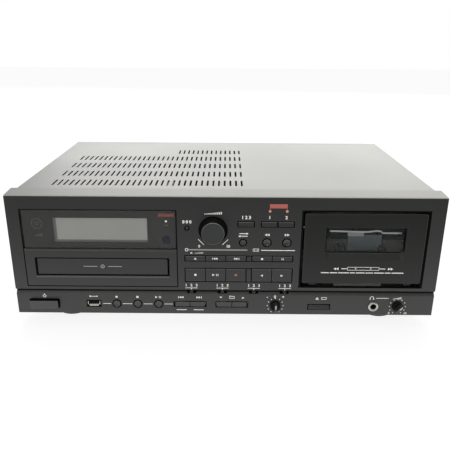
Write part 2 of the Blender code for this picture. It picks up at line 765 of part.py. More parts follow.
def board_corners():
    """The left, step and right sides of the display board, and its top, waist and foot."""
    sides = (
        DISC_PANEL_LEFT + BOARD_LEFT_MARGIN,
        KEY_FIELD_LEFT - BOARD_STEP_MARGIN,
        KEY_FIELD_RIGHT + BOARD_RIGHT_MARGIN,
    )
    levels = (
        down(PANEL_TOP_DROP - BOARD_TOP_MARGIN),
        down(TRAY_DROP - TRAY_FRONT_HEIGHT / 2 - BOARD_TRAY_MARGIN),
        key_rows()[-1][0][1] - LARGE_KEY_HEIGHT / 2 - BOARD_FOOT_MARGIN,
    )
    return sides, levels


def board_posts():
    """The posts that carry the display board: two above the tray, one at its step, two at its right edge."""
    (left, step, right), (top, waist, foot) = board_corners()
    above_tray = waist + BOARD_POST_INSET
    places = [
        (left + BOARD_POST_INSET, above_tray),
        (TRAY_X + TRAY_FRONT_WIDTH / 2, above_tray),
        (step + BOARD_POST_NECK_X, waist + BOARD_POST_NECK_RISE),
    ]
    for share in BOARD_POST_DROP_SHARES:
        places.append((right - BOARD_POST_EDGE_INSET, top + share * (foot - top)))
    depths = (at(WALL_BACK - FASCIA_EDGE), at(BOARD_DEPTH - SEAT_GAP))
    return [prism(round_outline(BOARD_POST_RADIUS), "Y", *depths, place) for place in places]


def make_front_panel(material):
    half = FASCIA_WIDTH / 2
    panel = make_piece("front_panel", prism(from_depth(fascia_outline()), "X", -half, half), material)
    inside = half - FASCIA_WALL
    cut(panel, prism(from_depth(fascia_hollow_outline()), "X", -inside, inside))
    add(panel, *board_posts(), *hinge_ears())
    cut(panel, *hinge_bores())
    cut(panel, *window_cuts())
    cut(panel, joined(panel_pockets()))
    cut(panel, joined(panel_holes()))
    return panel


def window_cuts():
    """The outline groove of the disc section, the bed of its window and the sight hole in the bed."""
    x, z = disc_panel_place()
    outer = box_outline(DISC_PANEL_WIDTH, DISC_PANEL_HEIGHT)
    inner = box_outline(
        grown(DISC_PANEL_WIDTH, -DISC_GROOVE_WIDTH), grown(DISC_PANEL_HEIGHT, -DISC_GROOVE_WIDTH)
    )
    front = at(-CUT_OVERRUN)
    groove = loft_ring(
        placed(outer, "Y", front, (x, z)), placed(inner, "Y", front, (x, z)), at(DISC_GROOVE_DEPTH)
    )
    width, height = window_size()
    x, z = window_place()
    bed = panel_hole(
        box_outline(width, height + DISC_GROOVE_WIDTH),
        (x, z + DISC_GROOVE_WIDTH / 2),
        -CUT_OVERRUN,
        WINDOW_THICKNESS + SEAT_GAP,
    )
    sight = through_face(box_outline(grown(width, -WINDOW_LEDGE), grown(height, -WINDOW_LEDGE)), (x, z))
    return groove, bed, sight


def panel_pockets():
    """The shallow recesses around the tray front, the level knob, the door and every button."""
    width = grown(TRAY_FRONT_WIDTH, TRAY_POCKET_MARGIN)
    height = grown(TRAY_FRONT_HEIGHT, TRAY_POCKET_MARGIN)
    tray_rim = box_outline(width, height)
    well = round_outline(LEVEL_WELL_RADIUS, LARGE_ROUND_STEPS)
    door_foot = down(DOOR_FOOT_DROP + DOOR_POCKET_MARGIN + DOOR_POCKET_FOOT)
    door_levels = (door_foot, down(DOOR_TOP_DROP - DOOR_POCKET_MARGIN))
    pockets = [
        panel_hole(tray_rim, tray_place(), -CUT_OVERRUN, TRAY_POCKET_DEPTH),
        panel_hole(well, on_upper_face(LEVEL_PLACE_SHARES), -CUT_OVERRUN, LEVEL_WELL_DEPTH),
        block(centred(DOOR_X, DOOR_POCKET_WIDTH), (at(-CUT_OVERRUN), at(DOOR_POCKET_DEPTH)), door_levels),
    ]
    for seats, face in ((upper_seats(), 0), (strip_seats(), STRIP_SETBACK)):
        for size, place in seats:
            rim = seat_outline(size, POCKET_MARGIN)
            pockets.append(panel_hole(rim, place, -CUT_OVERRUN, face + POCKET_DEPTH))
    return pockets


def panel_holes():
    """Every hole through the wall of the front panel."""
    x_range = centred(DOOR_X, grown(DOOR_WIDTH, DOOR_OPENING_MARGIN))
    levels = (down(DOOR_FOOT_DROP + DOOR_OPENING_FOOT), down(DOOR_TOP_DROP - DOOR_OPENING_MARGIN))
    holes = [
        through_face(seat_outline((TRAY_FRONT_WIDTH, TRAY_FRONT_HEIGHT), RUN_GAP), tray_place()),
        block(x_range, (at(-CUT_OVERRUN), at(WALL_BACK + CUT_OVERRUN)), levels),
    ]
    for size, place in upper_seats() + strip_seats():
        holes.append(through_face(seat_outline(size, RUN_GAP), place))
    for outline, place in plain_holes():
        holes.append(through_face(outline, place))
    slot_width = grown(SWITCH_KNOB_WIDTH, SWITCH_TRAVEL + RUN_GAP)
    slot = box_outline(slot_width, grown(SWITCH_KNOB_HEIGHT, RUN_GAP))
    for place in switch_places():
        holes.append(through_face(slot, place))
    return holes


def loft_ring(outer, inner, floor):
    """A square ring from the two outlines back to the floor level, as one closed solid."""
    bm = bmesh.new()
    loops = []
    for ring in (outer, inner):
        loops.append([bm.verts.new(point) for point in ring])
        loops.append([bm.verts.new((x, floor, z)) for x, _, z in ring])
    outer_front, outer_back, inner_front, inner_back = loops
    for near, far in (
        (outer_front, outer_back),
        (outer_back, inner_back),
        (inner_back, inner_front),
        (inner_front, outer_front),
    ):
        for index, vertex in enumerate(near):
            following = (index + 1) % len(near)
            bm.faces.new((vertex, near[following], far[following], far[index]))
    bmesh.ops.recalc_face_normals(bm, faces=bm.faces)
    return bm


# Window, display board and sockets on the front


def make_display_window(material):
    width, height = window_size()
    outline = soft_outline(grown(width, -SEAT_GAP), grown(height, -SEAT_GAP), WINDOW_RADIUS)
    solid = prism(outline, "Y", at(0), at(WINDOW_THICKNESS), window_place())
    return make_piece("display_window", solid, material)


def make_display_board(material):
    (left, step, right), (top, waist, foot) = board_corners()
    outline = [(left, top), (right, top), (right, foot), (step, foot), (step, waist), (left, waist)]
    board = make_piece(
        "display_board", prism(outline, "Y", at(BOARD_DEPTH), at(BOARD_DEPTH + BOARD_THICKNESS)), material
    )
    sunk = at(BOARD_DEPTH + BOARD_THICKNESS / 2)
    width, height = window_size()
    window_top = down(WINDOW_TOP_DROP)
    display_levels = (window_top - height + DISPLAY_FOOT_MARGIN, window_top - DISPLAY_TOP_MARGIN)
    x_range = centred(DISC_PANEL_X, grown(width, -DISPLAY_SIDE_MARGIN))
    parts = [block(x_range, (at(DISPLAY_DEPTH), sunk), display_levels)]
    switch = box_outline(KEY_SWITCH_SIZE, KEY_SWITCH_SIZE)
    for place, _, _, count in key_rows():
        for x in key_places(place[0], count):
            parts.append(prism(switch, "Y", at(BOARD_DEPTH - KEY_SWITCH_HEIGHT), sunk, (x, place[1])))
    return add(board, joined(parts))


def make_phones_jack(material):
    front = STRIP_SETBACK - SEAT_GAP - JACK_RING_PROUD
    profile = [
        (JACK_BORE_RADIUS, at(front + JACK_BORE_DEPTH)),
        (JACK_BORE_RADIUS, at(front)),
        (JACK_RING_RADIUS, at(front)),
        (JACK_RING_RADIUS, at(STRIP_SETBACK - SEAT_GAP)),
        (JACK_BODY_RADIUS, at(STRIP_SETBACK - SEAT_GAP)),
        (JACK_BODY_RADIUS, at(front + JACK_LENGTH)),
    ]
    return make_piece("phones_jack", turned(profile, "Y", on_strip(JACK_PLACE_SHARES)), material)


def make_usb_socket(material):
    place = on_strip(USB_PLACE_SHARES)
    front = at(STRIP_SETBACK)
    back = front + USB_LENGTH
    outline = box_outline(USB_WIDTH, USB_HEIGHT)
    socket = make_piece("usb_socket", prism(outline, "Y", front, back, place), material)
    mouth = box_outline(grown(USB_WIDTH, -USB_WALL), grown(USB_HEIGHT, -USB_WALL))
    cut(socket, prism(mouth, "Y", front - CUT_OVERRUN, back - USB_WALL, place))
    tongue_place = (place[0], place[1] + USB_TONGUE_THICKNESS / 2)
    tongue = box_outline(USB_TONGUE_WIDTH, USB_TONGUE_THICKNESS)
    return add(socket, prism(tongue, "Y", front + USB_TONGUE_SETBACK, back - USB_WALL / 2, tongue_place))


# Buttons and keys


def stepped(sections, place):
    """A solid of sections along Y: (outline, depth) from front to back, all with equally many points."""
    return loft([placed(outline, "Y", at(depth), place) for outline, depth in sections])


def button_solid(place, size, face_depth, back_depth, side_flange=BUTTON_FLANGE):
    """A cap through the panel, a flange behind it and a plunger: size is (width, height), or a radius."""
    flange_depth = back_depth + SEAT_GAP
    flange_back = flange_depth + BUTTON_FLANGE_THICKNESS
    if isinstance(size, tuple):
        width, height = size
        cap = soft_outline(width, height, BUTTON_RADIUS)
        top = soft_outline(grown(width, -BUTTON_EDGE), grown(height, -BUTTON_EDGE), BUTTON_RADIUS)
        flange = soft_outline(grown(width, side_flange), grown(height, BUTTON_FLANGE), BUTTON_RADIUS)
        plunger = soft_outline(2 * BUTTON_PLUNGER_RADIUS, 2 * BUTTON_PLUNGER_RADIUS, BUTTON_RADIUS)
    else:
        cap = round_outline(size)
        top = round_outline(size - BUTTON_EDGE)
        flange = round_outline(size + BUTTON_FLANGE)
        plunger = round_outline(BUTTON_PLUNGER_RADIUS)
    sections = [
        (top, face_depth),
        (cap, face_depth + BUTTON_EDGE),
        (cap, flange_depth),
        (flange, flange_depth),
        (flange, flange_back),
        (plunger, flange_back),
        (plunger, flange_back + BUTTON_PLUNGER),
    ]
    return stepped(sections, place)


def key_places(middle, count):
    return [middle + (index - (count - 1) / 2) * KEY_PITCH for index in range(count)]


def pivot_on_face(place, depth=0):
    return (place[0], at(depth), place[1])


def make_button(name, place, size, material, proud=0, face=0, back=WALL_BACK, side_flange=BUTTON_FLANGE):
    solid = button_solid(place, size, face - proud, back, side_flange)
    return make_piece(name, solid, material, pivot_on_face(place, face))


KEY_NAMES = (
    ("disc_eject_key", "disc_back_key", "disc_forward_key"),
    ("tape_stop_key", "tape_pause_key"),
    ("disc_stop_key", "disc_play_key", "disc_record_key"),
    ("tape_reverse_key", "tape_play_key"),
)


def make_keys(material):
    for names, (place, _, height, count) in zip(KEY_NAMES, key_rows()):
        for name, x in zip(names, key_places(place[0], count)):
            make_button(name, (x, place[1]), (KEY_WIDTH, height), material, KEY_PROUD, side_flange=0)


def make_upper_buttons(material):
    place = on_upper_face(RESET_PLACE_SHARES)
    make_button("counter_reset_button", place, RESET_BUTTON_RADIUS, material)
    place = on_upper_face(REPEAT_PLACE_SHARES)
    make_button("repeat_button", place, REPEAT_BUTTON_RADIUS, material, SMALL_PROUD)
    size = (SOURCE_BUTTON_WIDTH, SMALL_BUTTON_HEIGHT)
    make_button("source_button", on_upper_face(SOURCE_PLACE_SHARES), size, material, KEY_PROUD)
    x, z = on_upper_face(MODE_PAIR_PLACE_SHARES)
    size = (MODE_BUTTON_WIDTH, SMALL_BUTTON_HEIGHT)
    for name, side in (("memory_record_button", -1), ("tape_record_button", 1)):
        place = (x + side * MODE_BUTTON_PITCH / 2, z)
        make_button(name, place, size, material, KEY_PROUD, side_flange=0)
    for name, shares in zip(("tape_rewind_button", "tape_wind_button"), TAPE_SEARCH_PLACE_SHARES):
        make_button(name, on_upper_face(shares), ROUND_BUTTON_RADIUS, material, SMALL_PROUD)


def make_strip_buttons(material):
    face = {"face": STRIP_SETBACK, "back": STRIP_BACK}
    size = (POWER_BUTTON_WIDTH, POWER_BUTTON_HEIGHT)
    make_button("power_button", on_strip(POWER_PLACE_SHARES), size, material, POWER_BUTTON_PROUD, **face)
    size = (EJECT_BUTTON_WIDTH, EJECT_BUTTON_HEIGHT)
    make_button("tape_eject_button", on_strip(EJECT_PLACE_SHARES), size, material, EJECT_PROUD, **face)
    names = ("usb_record_button", "usb_stop_button", "usb_play_button")
    for name, share in zip(names, LOWER_BUTTON_X_SHARES):
        place = on_strip((share, STRIP_LINE_SHARE))
        make_button(name, place, ROUND_BUTTON_RADIUS, material, SMALL_PROUD, **face)


def make_rocker(name, shares, material):
    """A rocker tips about an upright axis through its middle, so its cap has room at both ends."""
    place = on_strip(shares)
    width = grown(ROCKER_WIDTH, -ROCKER_GAP)
    cap = soft_outline(width, ROCKER_HEIGHT, BUTTON_RADIUS)
    top = soft_outline(grown(width, -BUTTON_EDGE), grown(ROCKER_HEIGHT, -BUTTON_EDGE), BUTTON_RADIUS)
    neck_width = ROCKER_NECK_SHARE * ROCKER_WIDTH
    neck = soft_outline(neck_width, ROCKER_HEIGHT, BUTTON_RADIUS)
    flange = soft_outline(neck_width, grown(ROCKER_HEIGHT, BUTTON_FLANGE), BUTTON_RADIUS)
    cap_back = STRIP_SETBACK + FASCIA_WALL / 2
    flange_depth = STRIP_BACK + SEAT_GAP
    sections = [
        (top, STRIP_SETBACK - SMALL_PROUD),
        (cap, STRIP_SETBACK - SMALL_PROUD + BUTTON_EDGE),
        (cap, cap_back),
        (neck, cap_back),
        (neck, flange_depth),
        (flange, flange_depth),
        (flange, flange_depth + BUTTON_FLANGE_THICKNESS),
    ]
    return make_piece(name, stepped(sections, place), material, pivot_on_face(place, STRIP_BACK))


def make_slide_switches(material):
    """A knob on a slider plate, which still covers its slot at both ends of the travel."""
    size = (SWITCH_KNOB_WIDTH, SWITCH_KNOB_HEIGHT)
    slider = (
        grown(SWITCH_KNOB_WIDTH, 2 * SWITCH_TRAVEL + SWITCH_SLIDER_MARGIN),
        grown(SWITCH_KNOB_HEIGHT, SWITCH_SLIDER_MARGIN),
    )
    cap = soft_outline(*size, BUTTON_RADIUS)
    top = soft_outline(grown(size[0], -BUTTON_EDGE), grown(size[1], -BUTTON_EDGE), BUTTON_RADIUS)
    plate = soft_outline(*slider, BUTTON_RADIUS)
    slider_depth = WEB_BACK + SEAT_GAP
    sections = [
        (top, SWITCH_KNOB_SETBACK),
        (cap, SWITCH_KNOB_SETBACK + BUTTON_EDGE),
        (cap, slider_depth),
        (plate, slider_depth),
        (plate, slider_depth + SWITCH_SLIDER_THICKNESS),
    ]
    names = ("timer_switch", "record_start_switch", "reverse_mode_switch", "noise_filter_switch")
    for name, place in zip(names, switch_places()):
        make_piece(name, stepped(sections, place), material, pivot_on_face(place))


# Knobs


def make_level_knob(material):
    place = on_upper_face(LEVEL_PLACE_SHARES)
    base = LEVEL_WELL_DEPTH - SEAT_GAP
    shaft_end = BOARD_DEPTH - SEAT_GAP
    profile = [
        (LEVEL_KNOB_FACE_RADIUS - LEVEL_KNOB_EDGE, at(-LEVEL_KNOB_PROUD)),
        (LEVEL_KNOB_FACE_RADIUS, at(LEVEL_KNOB_EDGE - LEVEL_KNOB_PROUD)),
        (LEVEL_KNOB_RADIUS, at(base)),
        (LEVEL_SHAFT_RADIUS, at(base)),
        (LEVEL_SHAFT_RADIUS, at(shaft_end)),
    ]
    solid = turned(profile, "Y", place, LARGE_ROUND_STEPS)
    return make_piece("record_level_knob", solid, material, pivot_on_face(place))


def make_small_knob(name, shares, material):
    """A round skirt with a bar grip standing across it."""
    place = on_strip(shares)
    skirt_back = STRIP_SETBACK - SEAT_GAP
    skirt_front = skirt_back - SMALL_KNOB_SKIRT
    profile = [
        (SMALL_KNOB_RADIUS - BUTTON_EDGE, at(skirt_front)),
        (SMALL_KNOB_RADIUS, at(skirt_front + BUTTON_EDGE)),
        (SMALL_KNOB_RADIUS, at(skirt_back)),
        (SMALL_SHAFT_RADIUS, at(skirt_back)),
        (SMALL_SHAFT_RADIUS, at(BOARD_DEPTH)),
    ]
    knob = make_piece(name, turned(profile, "Y", place), material, pivot_on_face(place, STRIP_SETBACK))
    grip = soft_outline(SMALL_KNOB_GRIP_WIDTH, SMALL_KNOB_GRIP_SHARE * SMALL_KNOB_RADIUS, BUTTON_RADIUS)
    grip_front = STRIP_SETBACK - SMALL_KNOB_PROUD
    return add(knob, prism(grip, "Y", at(grip_front), at(skirt_front + BUTTON_EDGE), place))


# Cassette door


def sight_place():
    x, z = door_place()
    top = z + DOOR_HEIGHT / 2 - DOOR_SIGHT_TOP
    return (x + DOOR_SIGHT_X_SHARE * DOOR_WIDTH, top)


def sight_outline(height):
    """The sight opening below its top edge, with round lower corners."""
    side = DOOR_SIGHT_WIDTH / 2
    points = [(side, 0), (-side, 0)]
    for quarter, sign in ((2, -1), (3, 1)):
        for step in range(CORNER_STEPS + 1):
            angle = math.pi / 2 * (quarter + step / CORNER_STEPS)
            points.append(
                (
                    sign * (side - DOOR_SIGHT_RADIUS) + DOOR_SIGHT_RADIUS * math.cos(angle),
                    DOOR_SIGHT_RADIUS - height + DOOR_SIGHT_RADIUS * math.sin(angle),
                )
            )
    return points


def hinge_pivot():
    return (DOOR_X, at(HINGE_DEPTH), hinge_height())


def make_door(material):
    place = door_place()
    face = soft_outline(grown(DOOR_WIDTH, -DOOR_EDGE), grown(DOOR_HEIGHT, -DOOR_EDGE), DOOR_RADIUS)
    full = soft_outline(DOOR_WIDTH, DOOR_HEIGHT, DOOR_RADIUS)
    sections = [(face, -DOOR_PROUD), (full, DOOR_EDGE - DOOR_PROUD), (full, DOOR_BACK_DEPTH)]
    door = make_piece("cassette_door", stepped(sections, place), material, hinge_pivot())
    x, top = sight_place()
    front = sight_outline(DOOR_SIGHT_HEIGHT)
    back = sight_outline(DOOR_SIGHT_BACK_HEIGHT)
    sight = loft(
        [
            placed(front, "Y", at(-DOOR_PROUD - CUT_OVERRUN), (x, top)),
            placed(front, "Y", at(-DOOR_PROUD), (x, top)),
            placed(back, "Y", at(DOOR_BACK_DEPTH), (x, top)),
            placed(back, "Y", at(DOOR_BACK_DEPTH + CUT_OVERRUN), (x, top)),
        ]
    )
    return cut(door, sight)


def glass_depths():
    front = DOOR_BACK_DEPTH + SEAT_GAP
    return (front, front + DOOR_GLASS_THICKNESS)


def holder_front_depth():
    return glass_depths()[1] + SEAT_GAP


def make_door_window(material):
    x, top = sight_place()
    width = grown(DOOR_SIGHT_WIDTH, DOOR_GLASS_MARGIN)
    height = grown(DOOR_SIGHT_BACK_HEIGHT, DOOR_GLASS_MARGIN)
    outline = soft_outline(width, height, DOOR_RADIUS)
    front, back = glass_depths()
    place = (x, top - DOOR_SIGHT_BACK_HEIGHT / 2)
    return make_piece("door_window", prism(outline, "Y", at(front), at(back), place), material, hinge_pivot())


def make_cassette_holder(material):
    """Two channels joined by a front plate with a sight hole, hinged on two pins at its foot."""
    half = HOLDER_WIDTH / 2
    inner = half - HOLDER_WALL
    front = holder_front_depth()
    plate_back = front + HOLDER_PLATE
    pocket_back = plate_back + CASSETTE_THICKNESS + SEAT_GAP
    back = pocket_back + HOLDER_PLATE
    cassette_foot = down(CASSETTE_FOOT_DROP)
    foot = hinge_height() - 2 * HINGE_PIN_RADIUS
    top = cassette_foot + CASSETTE_HEIGHT + HOLDER_WALL
    outline = [
        (-half, front),
        (half, front),
        (half, back),
        (inner - HOLDER_LIP, back),
        (inner - HOLDER_LIP, pocket_back),
        (inner, pocket_back),
        (inner, plate_back),
        (-inner, plate_back),
        (-inner, pocket_back),
        (HOLDER_LIP - inner, pocket_back),
        (HOLDER_LIP - inner, back),
        (-half, back),
    ]
    holder = make_piece(
        "cassette_holder",
        prism([(x + DOOR_X, at(depth)) for x, depth in outline], "Z", foot, top),
        material,
        hinge_pivot(),
    )
    x, sight_top = sight_place()
    sight = block(
        centred(x, grown(DOOR_SIGHT_WIDTH, DOOR_GLASS_MARGIN)),
        (at(front - CUT_OVERRUN), at(plate_back + HOLDER_PLATE)),
        (sight_top - DOOR_SIGHT_HEIGHT, sight_top + DOOR_GLASS_MARGIN),
    )
    mouth = block(
        centred(DOOR_X, 2 * (inner - HOLDER_STOP)),
        (at(front - CUT_OVERRUN), at(back + CUT_OVERRUN)),
        (foot - CUT_OVERRUN, cassette_foot - HOLDER_STOP_THICKNESS),
    )
    cut(holder, sight, mouth)
    solids = []
    for side in (-1, 1):
        low, high = sorted((DOOR_X + side * (inner - HOLDER_STOP), DOOR_X + side * (inner + HOLDER_WALL / 2)))
        depths = (at(plate_back - HOLDER_PLATE / 2), at(pocket_back + HOLDER_PLATE / 2))
        solids.append(block((low, high), depths, (cassette_foot - HOLDER_STOP_THICKNESS, cassette_foot)))
        ends = (half - HOLDER_WALL / 2, half + HINGE_PIN_LENGTH)
        low, high = sorted(DOOR_X + side * end for end in ends)
        centre = (at(HINGE_DEPTH), hinge_height())
        solids.append(prism(round_outline(HINGE_PIN_RADIUS), "X", low, high, centre))
    return add(holder, *solids)


# Tape mechanism


def reel_places():
    height = down(CASSETTE_FOOT_DROP) + REEL_HEIGHT_IN_CASSETTE
    return [(DOOR_X - REEL_SPACING / 2, height), (DOOR_X + REEL_SPACING / 2, height)]


def capstan_places():
    height = down(CASSETTE_FOOT_DROP) + CAPSTAN_HEIGHT_IN_CASSETTE
    return [(DOOR_X - CAPSTAN_SPACING / 2, height), (DOOR_X + CAPSTAN_SPACING / 2, height)]


def make_mechanism_plate(material):
    top = down(DOOR_TOP_DROP - MECHANISM_TOP_RISE)
    foot = CHASSIS_TOP_Z + SEAT_GAP
    width = centred(DOOR_X, MECHANISM_WIDTH)
    plate = make_piece(
        "tape_mechanism_plate", block(width, (at(MECHANISM_DEPTH), at(MECHANISM_BACK)), (foot, top)), material
    )
    rear = at(MECHANISM_BACK + MECHANISM_FOOT_LENGTH)
    front = at(MECHANISM_DEPTH + MECHANISM_PLATE / 2)
    add(plate, block(width, (front, rear), (foot, foot + MECHANISM_PLATE)))
    bores = []
    for place in reel_places():
        bores.append(mechanism_bore(REEL_SHAFT_RADIUS, place))
    for place in capstan_places():
        bores.append(mechanism_bore(CAPSTAN_RADIUS, place))
    return cut(plate, joined(bores))


def mechanism_bore(radius, place):
    depths = (at(MECHANISM_DEPTH - CUT_OVERRUN), at(MECHANISM_BACK + CUT_OVERRUN))
    return prism(round_outline(radius + SEAT_GAP), "Y", *depths, place)


def make_reel_spindle(name, place, material):
    tip = MECHANISM_DEPTH - REEL_HUB_LENGTH - SEAT_GAP
    profile = [
        (REEL_HUB_RADIUS / 2, at(tip - REEL_TOOTH_REACH)),
        (REEL_HUB_RADIUS - REEL_TOOTH_REACH, at(tip)),
        (REEL_HUB_RADIUS - REEL_TOOTH_REACH, at(MECHANISM_DEPTH - SEAT_GAP)),
        (REEL_SHAFT_RADIUS, at(MECHANISM_DEPTH - SEAT_GAP)),
        (REEL_SHAFT_RADIUS, at(MECHANISM_BACK + SEAT_GAP)),
        (REEL_DISC_RADIUS, at(MECHANISM_BACK + SEAT_GAP)),
        (REEL_DISC_RADIUS, at(MECHANISM_BACK + SEAT_GAP + REEL_DISC_THICKNESS)),
    ]
    pivot = pivot_on_face(place, MECHANISM_DEPTH)
    spindle = make_piece(name, turned(profile, "Y", place), material, pivot)
    teeth = []
    for index in range(REEL_TEETH):
        angle = math.tau * index / REEL_TEETH
        tooth = block(
            (0, REEL_HUB_RADIUS), (at(tip + REEL_TOOTH_REACH), at(tip + REEL_HUB_LENGTH / 2)),
            centred(0, REEL_TOOTH_WIDTH),
        )
        for vertex in tooth.verts:
            x, _, z = vertex.co
            vertex.co.x = place[0] + x * math.cos(angle) - z * math.sin(angle)
            vertex.co.z = place[1] + x * math.sin(angle) + z * math.cos(angle)
        teeth.append(tooth)
    return add(spindle, *teeth)


def make_capstan(name, place, material):
    tip = MECHANISM_DEPTH - CAPSTAN_REACH
    wheel = MECHANISM_BACK + FLYWHEEL_GAP + REEL_DISC_THICKNESS
    profile = [
        (CAPSTAN_RADIUS, at(tip)),
        (CAPSTAN_RADIUS, at(wheel)),
        (FLYWHEEL_RADIUS, at(wheel)),
        (FLYWHEEL_RADIUS, at(wheel + FLYWHEEL_THICKNESS)),
    ]
    solid = turned(profile, "Y", place, LARGE_ROUND_STEPS)
    return make_piece(name, solid, material, pivot_on_face(place, MECHANISM_DEPTH))


def make_head_block(material):
    """The sliding base with the tape head, just under the cassette."""
    top = down(CASSETTE_FOOT_DROP) - HEAD_TOP_GAP
    back = at(MECHANISM_DEPTH - SEAT_GAP)
    front = back - HEAD_DEPTH
    base = block(centred(DOOR_X, HEAD_WIDTH), (front, back), (top - HEAD_HEIGHT, top - HEAD_CORE_RISE))
    pivot = (DOOR_X, at(MECHANISM_DEPTH), top)
    head = make_piece("head_block", base, material, pivot)
    depths = (front + HEAD_CORE_RISE, back - HEAD_CORE_RISE)
    core = block(centred(DOOR_X, HEAD_CORE_WIDTH), depths, (top - HEAD_HEIGHT / 2, top))
    return add(head, core)


# Disc drive


def tray_levels():
    middle = down(TRAY_DROP)
    return (middle - TRAY_THICKNESS / 2, middle + TRAY_THICKNESS / 2)


def tray_front_depths():
    return (TRAY_FRONT_SETBACK, TRAY_FRONT_SETBACK + TRAY_FRONT_THICKNESS)


def tray_depths():
    front = tray_front_depths()[1] + SEAT_GAP
    return (front, front + TRAY_LENGTH)


def tray_pivot():
    return (TRAY_X, at(0), down(TRAY_DROP))


def make_tray_front(material):
    outline = soft_outline(TRAY_FRONT_WIDTH, TRAY_FRONT_HEIGHT, TRAY_FRONT_RADIUS)
    front, back = tray_front_depths()
    solid = prism(outline, "Y", at(front), at(back), tray_place())
    return make_piece("tray_front", solid, material, tray_pivot())


def make_disc_tray(material):
    low, high = tray_levels()
    front, back = tray_depths()
    outline = soft_outline(TRAY_WIDTH, TRAY_LENGTH, TRAY_RADIUS)
    middle = (TRAY_X, at((front + back) / 2))
    tray = make_piece("disc_tray", prism(outline, "Z", low, high, middle), material, tray_pivot())
    centre = (TRAY_X, at(front + DISC_CENTRE_DEPTH))
    recess = round_outline(DISC_RECESS_RADIUS, LARGE_ROUND_STEPS)
    slot_y = (centre[1] - TRAY_SLOT_FRONT, centre[1] - TRAY_SLOT_FRONT + TRAY_SLOT_LENGTH)
    return cut(
        tray,
        prism(recess, "Z", high - DISC_RECESS_DEPTH, high + CUT_OVERRUN, centre),
        block(centred(TRAY_X, TRAY_SLOT_WIDTH), slot_y, (low - CUT_OVERRUN, high + CUT_OVERRUN)),
    )


def spindle_levels():
    top = tray_levels()[0] - SPINDLE_CLEARANCE
    return (top - SPINDLE_HUB_HEIGHT, top)


def drive_floor_levels():
    top = tray_levels()[0] - DRIVE_FLOOR_DROP
    return (top - DRIVE_FLOOR_THICKNESS, top)


def make_disc_drive_frame(material):
    """Side walls with rails under and over the tray, a floor, a bridge over the disc and four legs."""
    low, high = tray_levels()
    inner = TRAY_WIDTH / 2 + RUN_GAP
    outer = inner + DRIVE_WALL
    front = at(DRIVE_FRONT_DEPTH)
    back = at(tray_depths()[1] + DRIVE_REAR_MARGIN)
    floor_low, floor_top = drive_floor_levels()
    top = high + DRIVE_TOP_RISE
    outline = [
        (-outer, floor_low),
        (outer, floor_low),
        (outer, top),
        (inner - DRIVE_RAIL, top),
        (inner - DRIVE_RAIL, high + RUN_GAP),
        (inner, high + RUN_GAP),
        (inner, low - RUN_GAP),
        (inner - DRIVE_RAIL, low - RUN_GAP),
        (inner - DRIVE_RAIL, low - RUN_GAP - DRIVE_RAIL_THICKNESS),
        (inner, low - RUN_GAP - DRIVE_RAIL_THICKNESS),
        (inner, floor_top),
    ]
    mirrored = [(-x, z) for x, z in reversed(outline[2:])]
    section = [(x + TRAY_X, z) for x, z in outline + mirrored]
    frame = make_piece("disc_drive_frame", prism(section, "Y", front, back), material)
    centre_y = at(tray_depths()[0] + DISC_CENTRE_DEPTH)
    bridge_low = high + DRIVE_TOP_RISE - DRIVE_BRIDGE_THICKNESS
    parts = [
        block(centred(TRAY_X, 2 * inner), centred(centre_y, DRIVE_BRIDGE_LENGTH), (bridge_low, top)),
        block(
            centred(TRAY_X, 2 * inner + DRIVE_WALL),
            (back - DRIVE_WALL, back),
            (floor_low + DRIVE_FLOOR_THICKNESS / 2, high),
        ),
        turned(
            [(SPINDLE_BOSS_RADIUS, floor_low - SPINDLE_BOSS_DEPTH), (SPINDLE_BOSS_RADIUS, floor_top)],
            "Z",
            (TRAY_X, centre_y),
        ),
    ]
    leg_top = floor_low + DRIVE_FLOOR_THICKNESS / 2
    for side in (-1, 1):
        x = centred(TRAY_X + side * (outer - DRIVE_LEG / 2), DRIVE_LEG)
        for y in (front + DRIVE_LEG / 2, back - DRIVE_LEG / 2):
            parts.append(block(x, centred(y, DRIVE_LEG), (CHASSIS_TOP_Z + SEAT_GAP, leg_top)))
    add(frame, *parts)
    bore = round_outline(SPINDLE_SHAFT_RADIUS + SEAT_GAP)
    return cut(frame, prism(bore, "Z", floor_low - SPINDLE_BOSS_DEPTH - CUT_OVERRUN, floor_top + CUT_OVERRUN,
                            (TRAY_X, centre_y)))


def make_disc_spindle(material):
    hub_low, hub_top = spindle_levels()
    floor_low, floor_top = drive_floor_levels()
    centre = (TRAY_X, at(tray_depths()[0] + DISC_CENTRE_DEPTH))
    profile = [
        (SPINDLE_SHAFT_RADIUS, floor_low - SPINDLE_BOSS_DEPTH),
        (SPINDLE_SHAFT_RADIUS, hub_low),
        (SPINDLE_HUB_RADIUS, hub_low),
        (SPINDLE_HUB_RADIUS, hub_top - SPINDLE_HUB_HEIGHT / 2),
        (SPINDLE_HUB_RADIUS / 2, hub_top - SPINDLE_HUB_HEIGHT / 2),
        (SPINDLE_HUB_RADIUS / 2, hub_top),
    ]
    return make_piece("disc_spindle", turned(profile, "Z", centre), material, (*centre, floor_top))


# Case


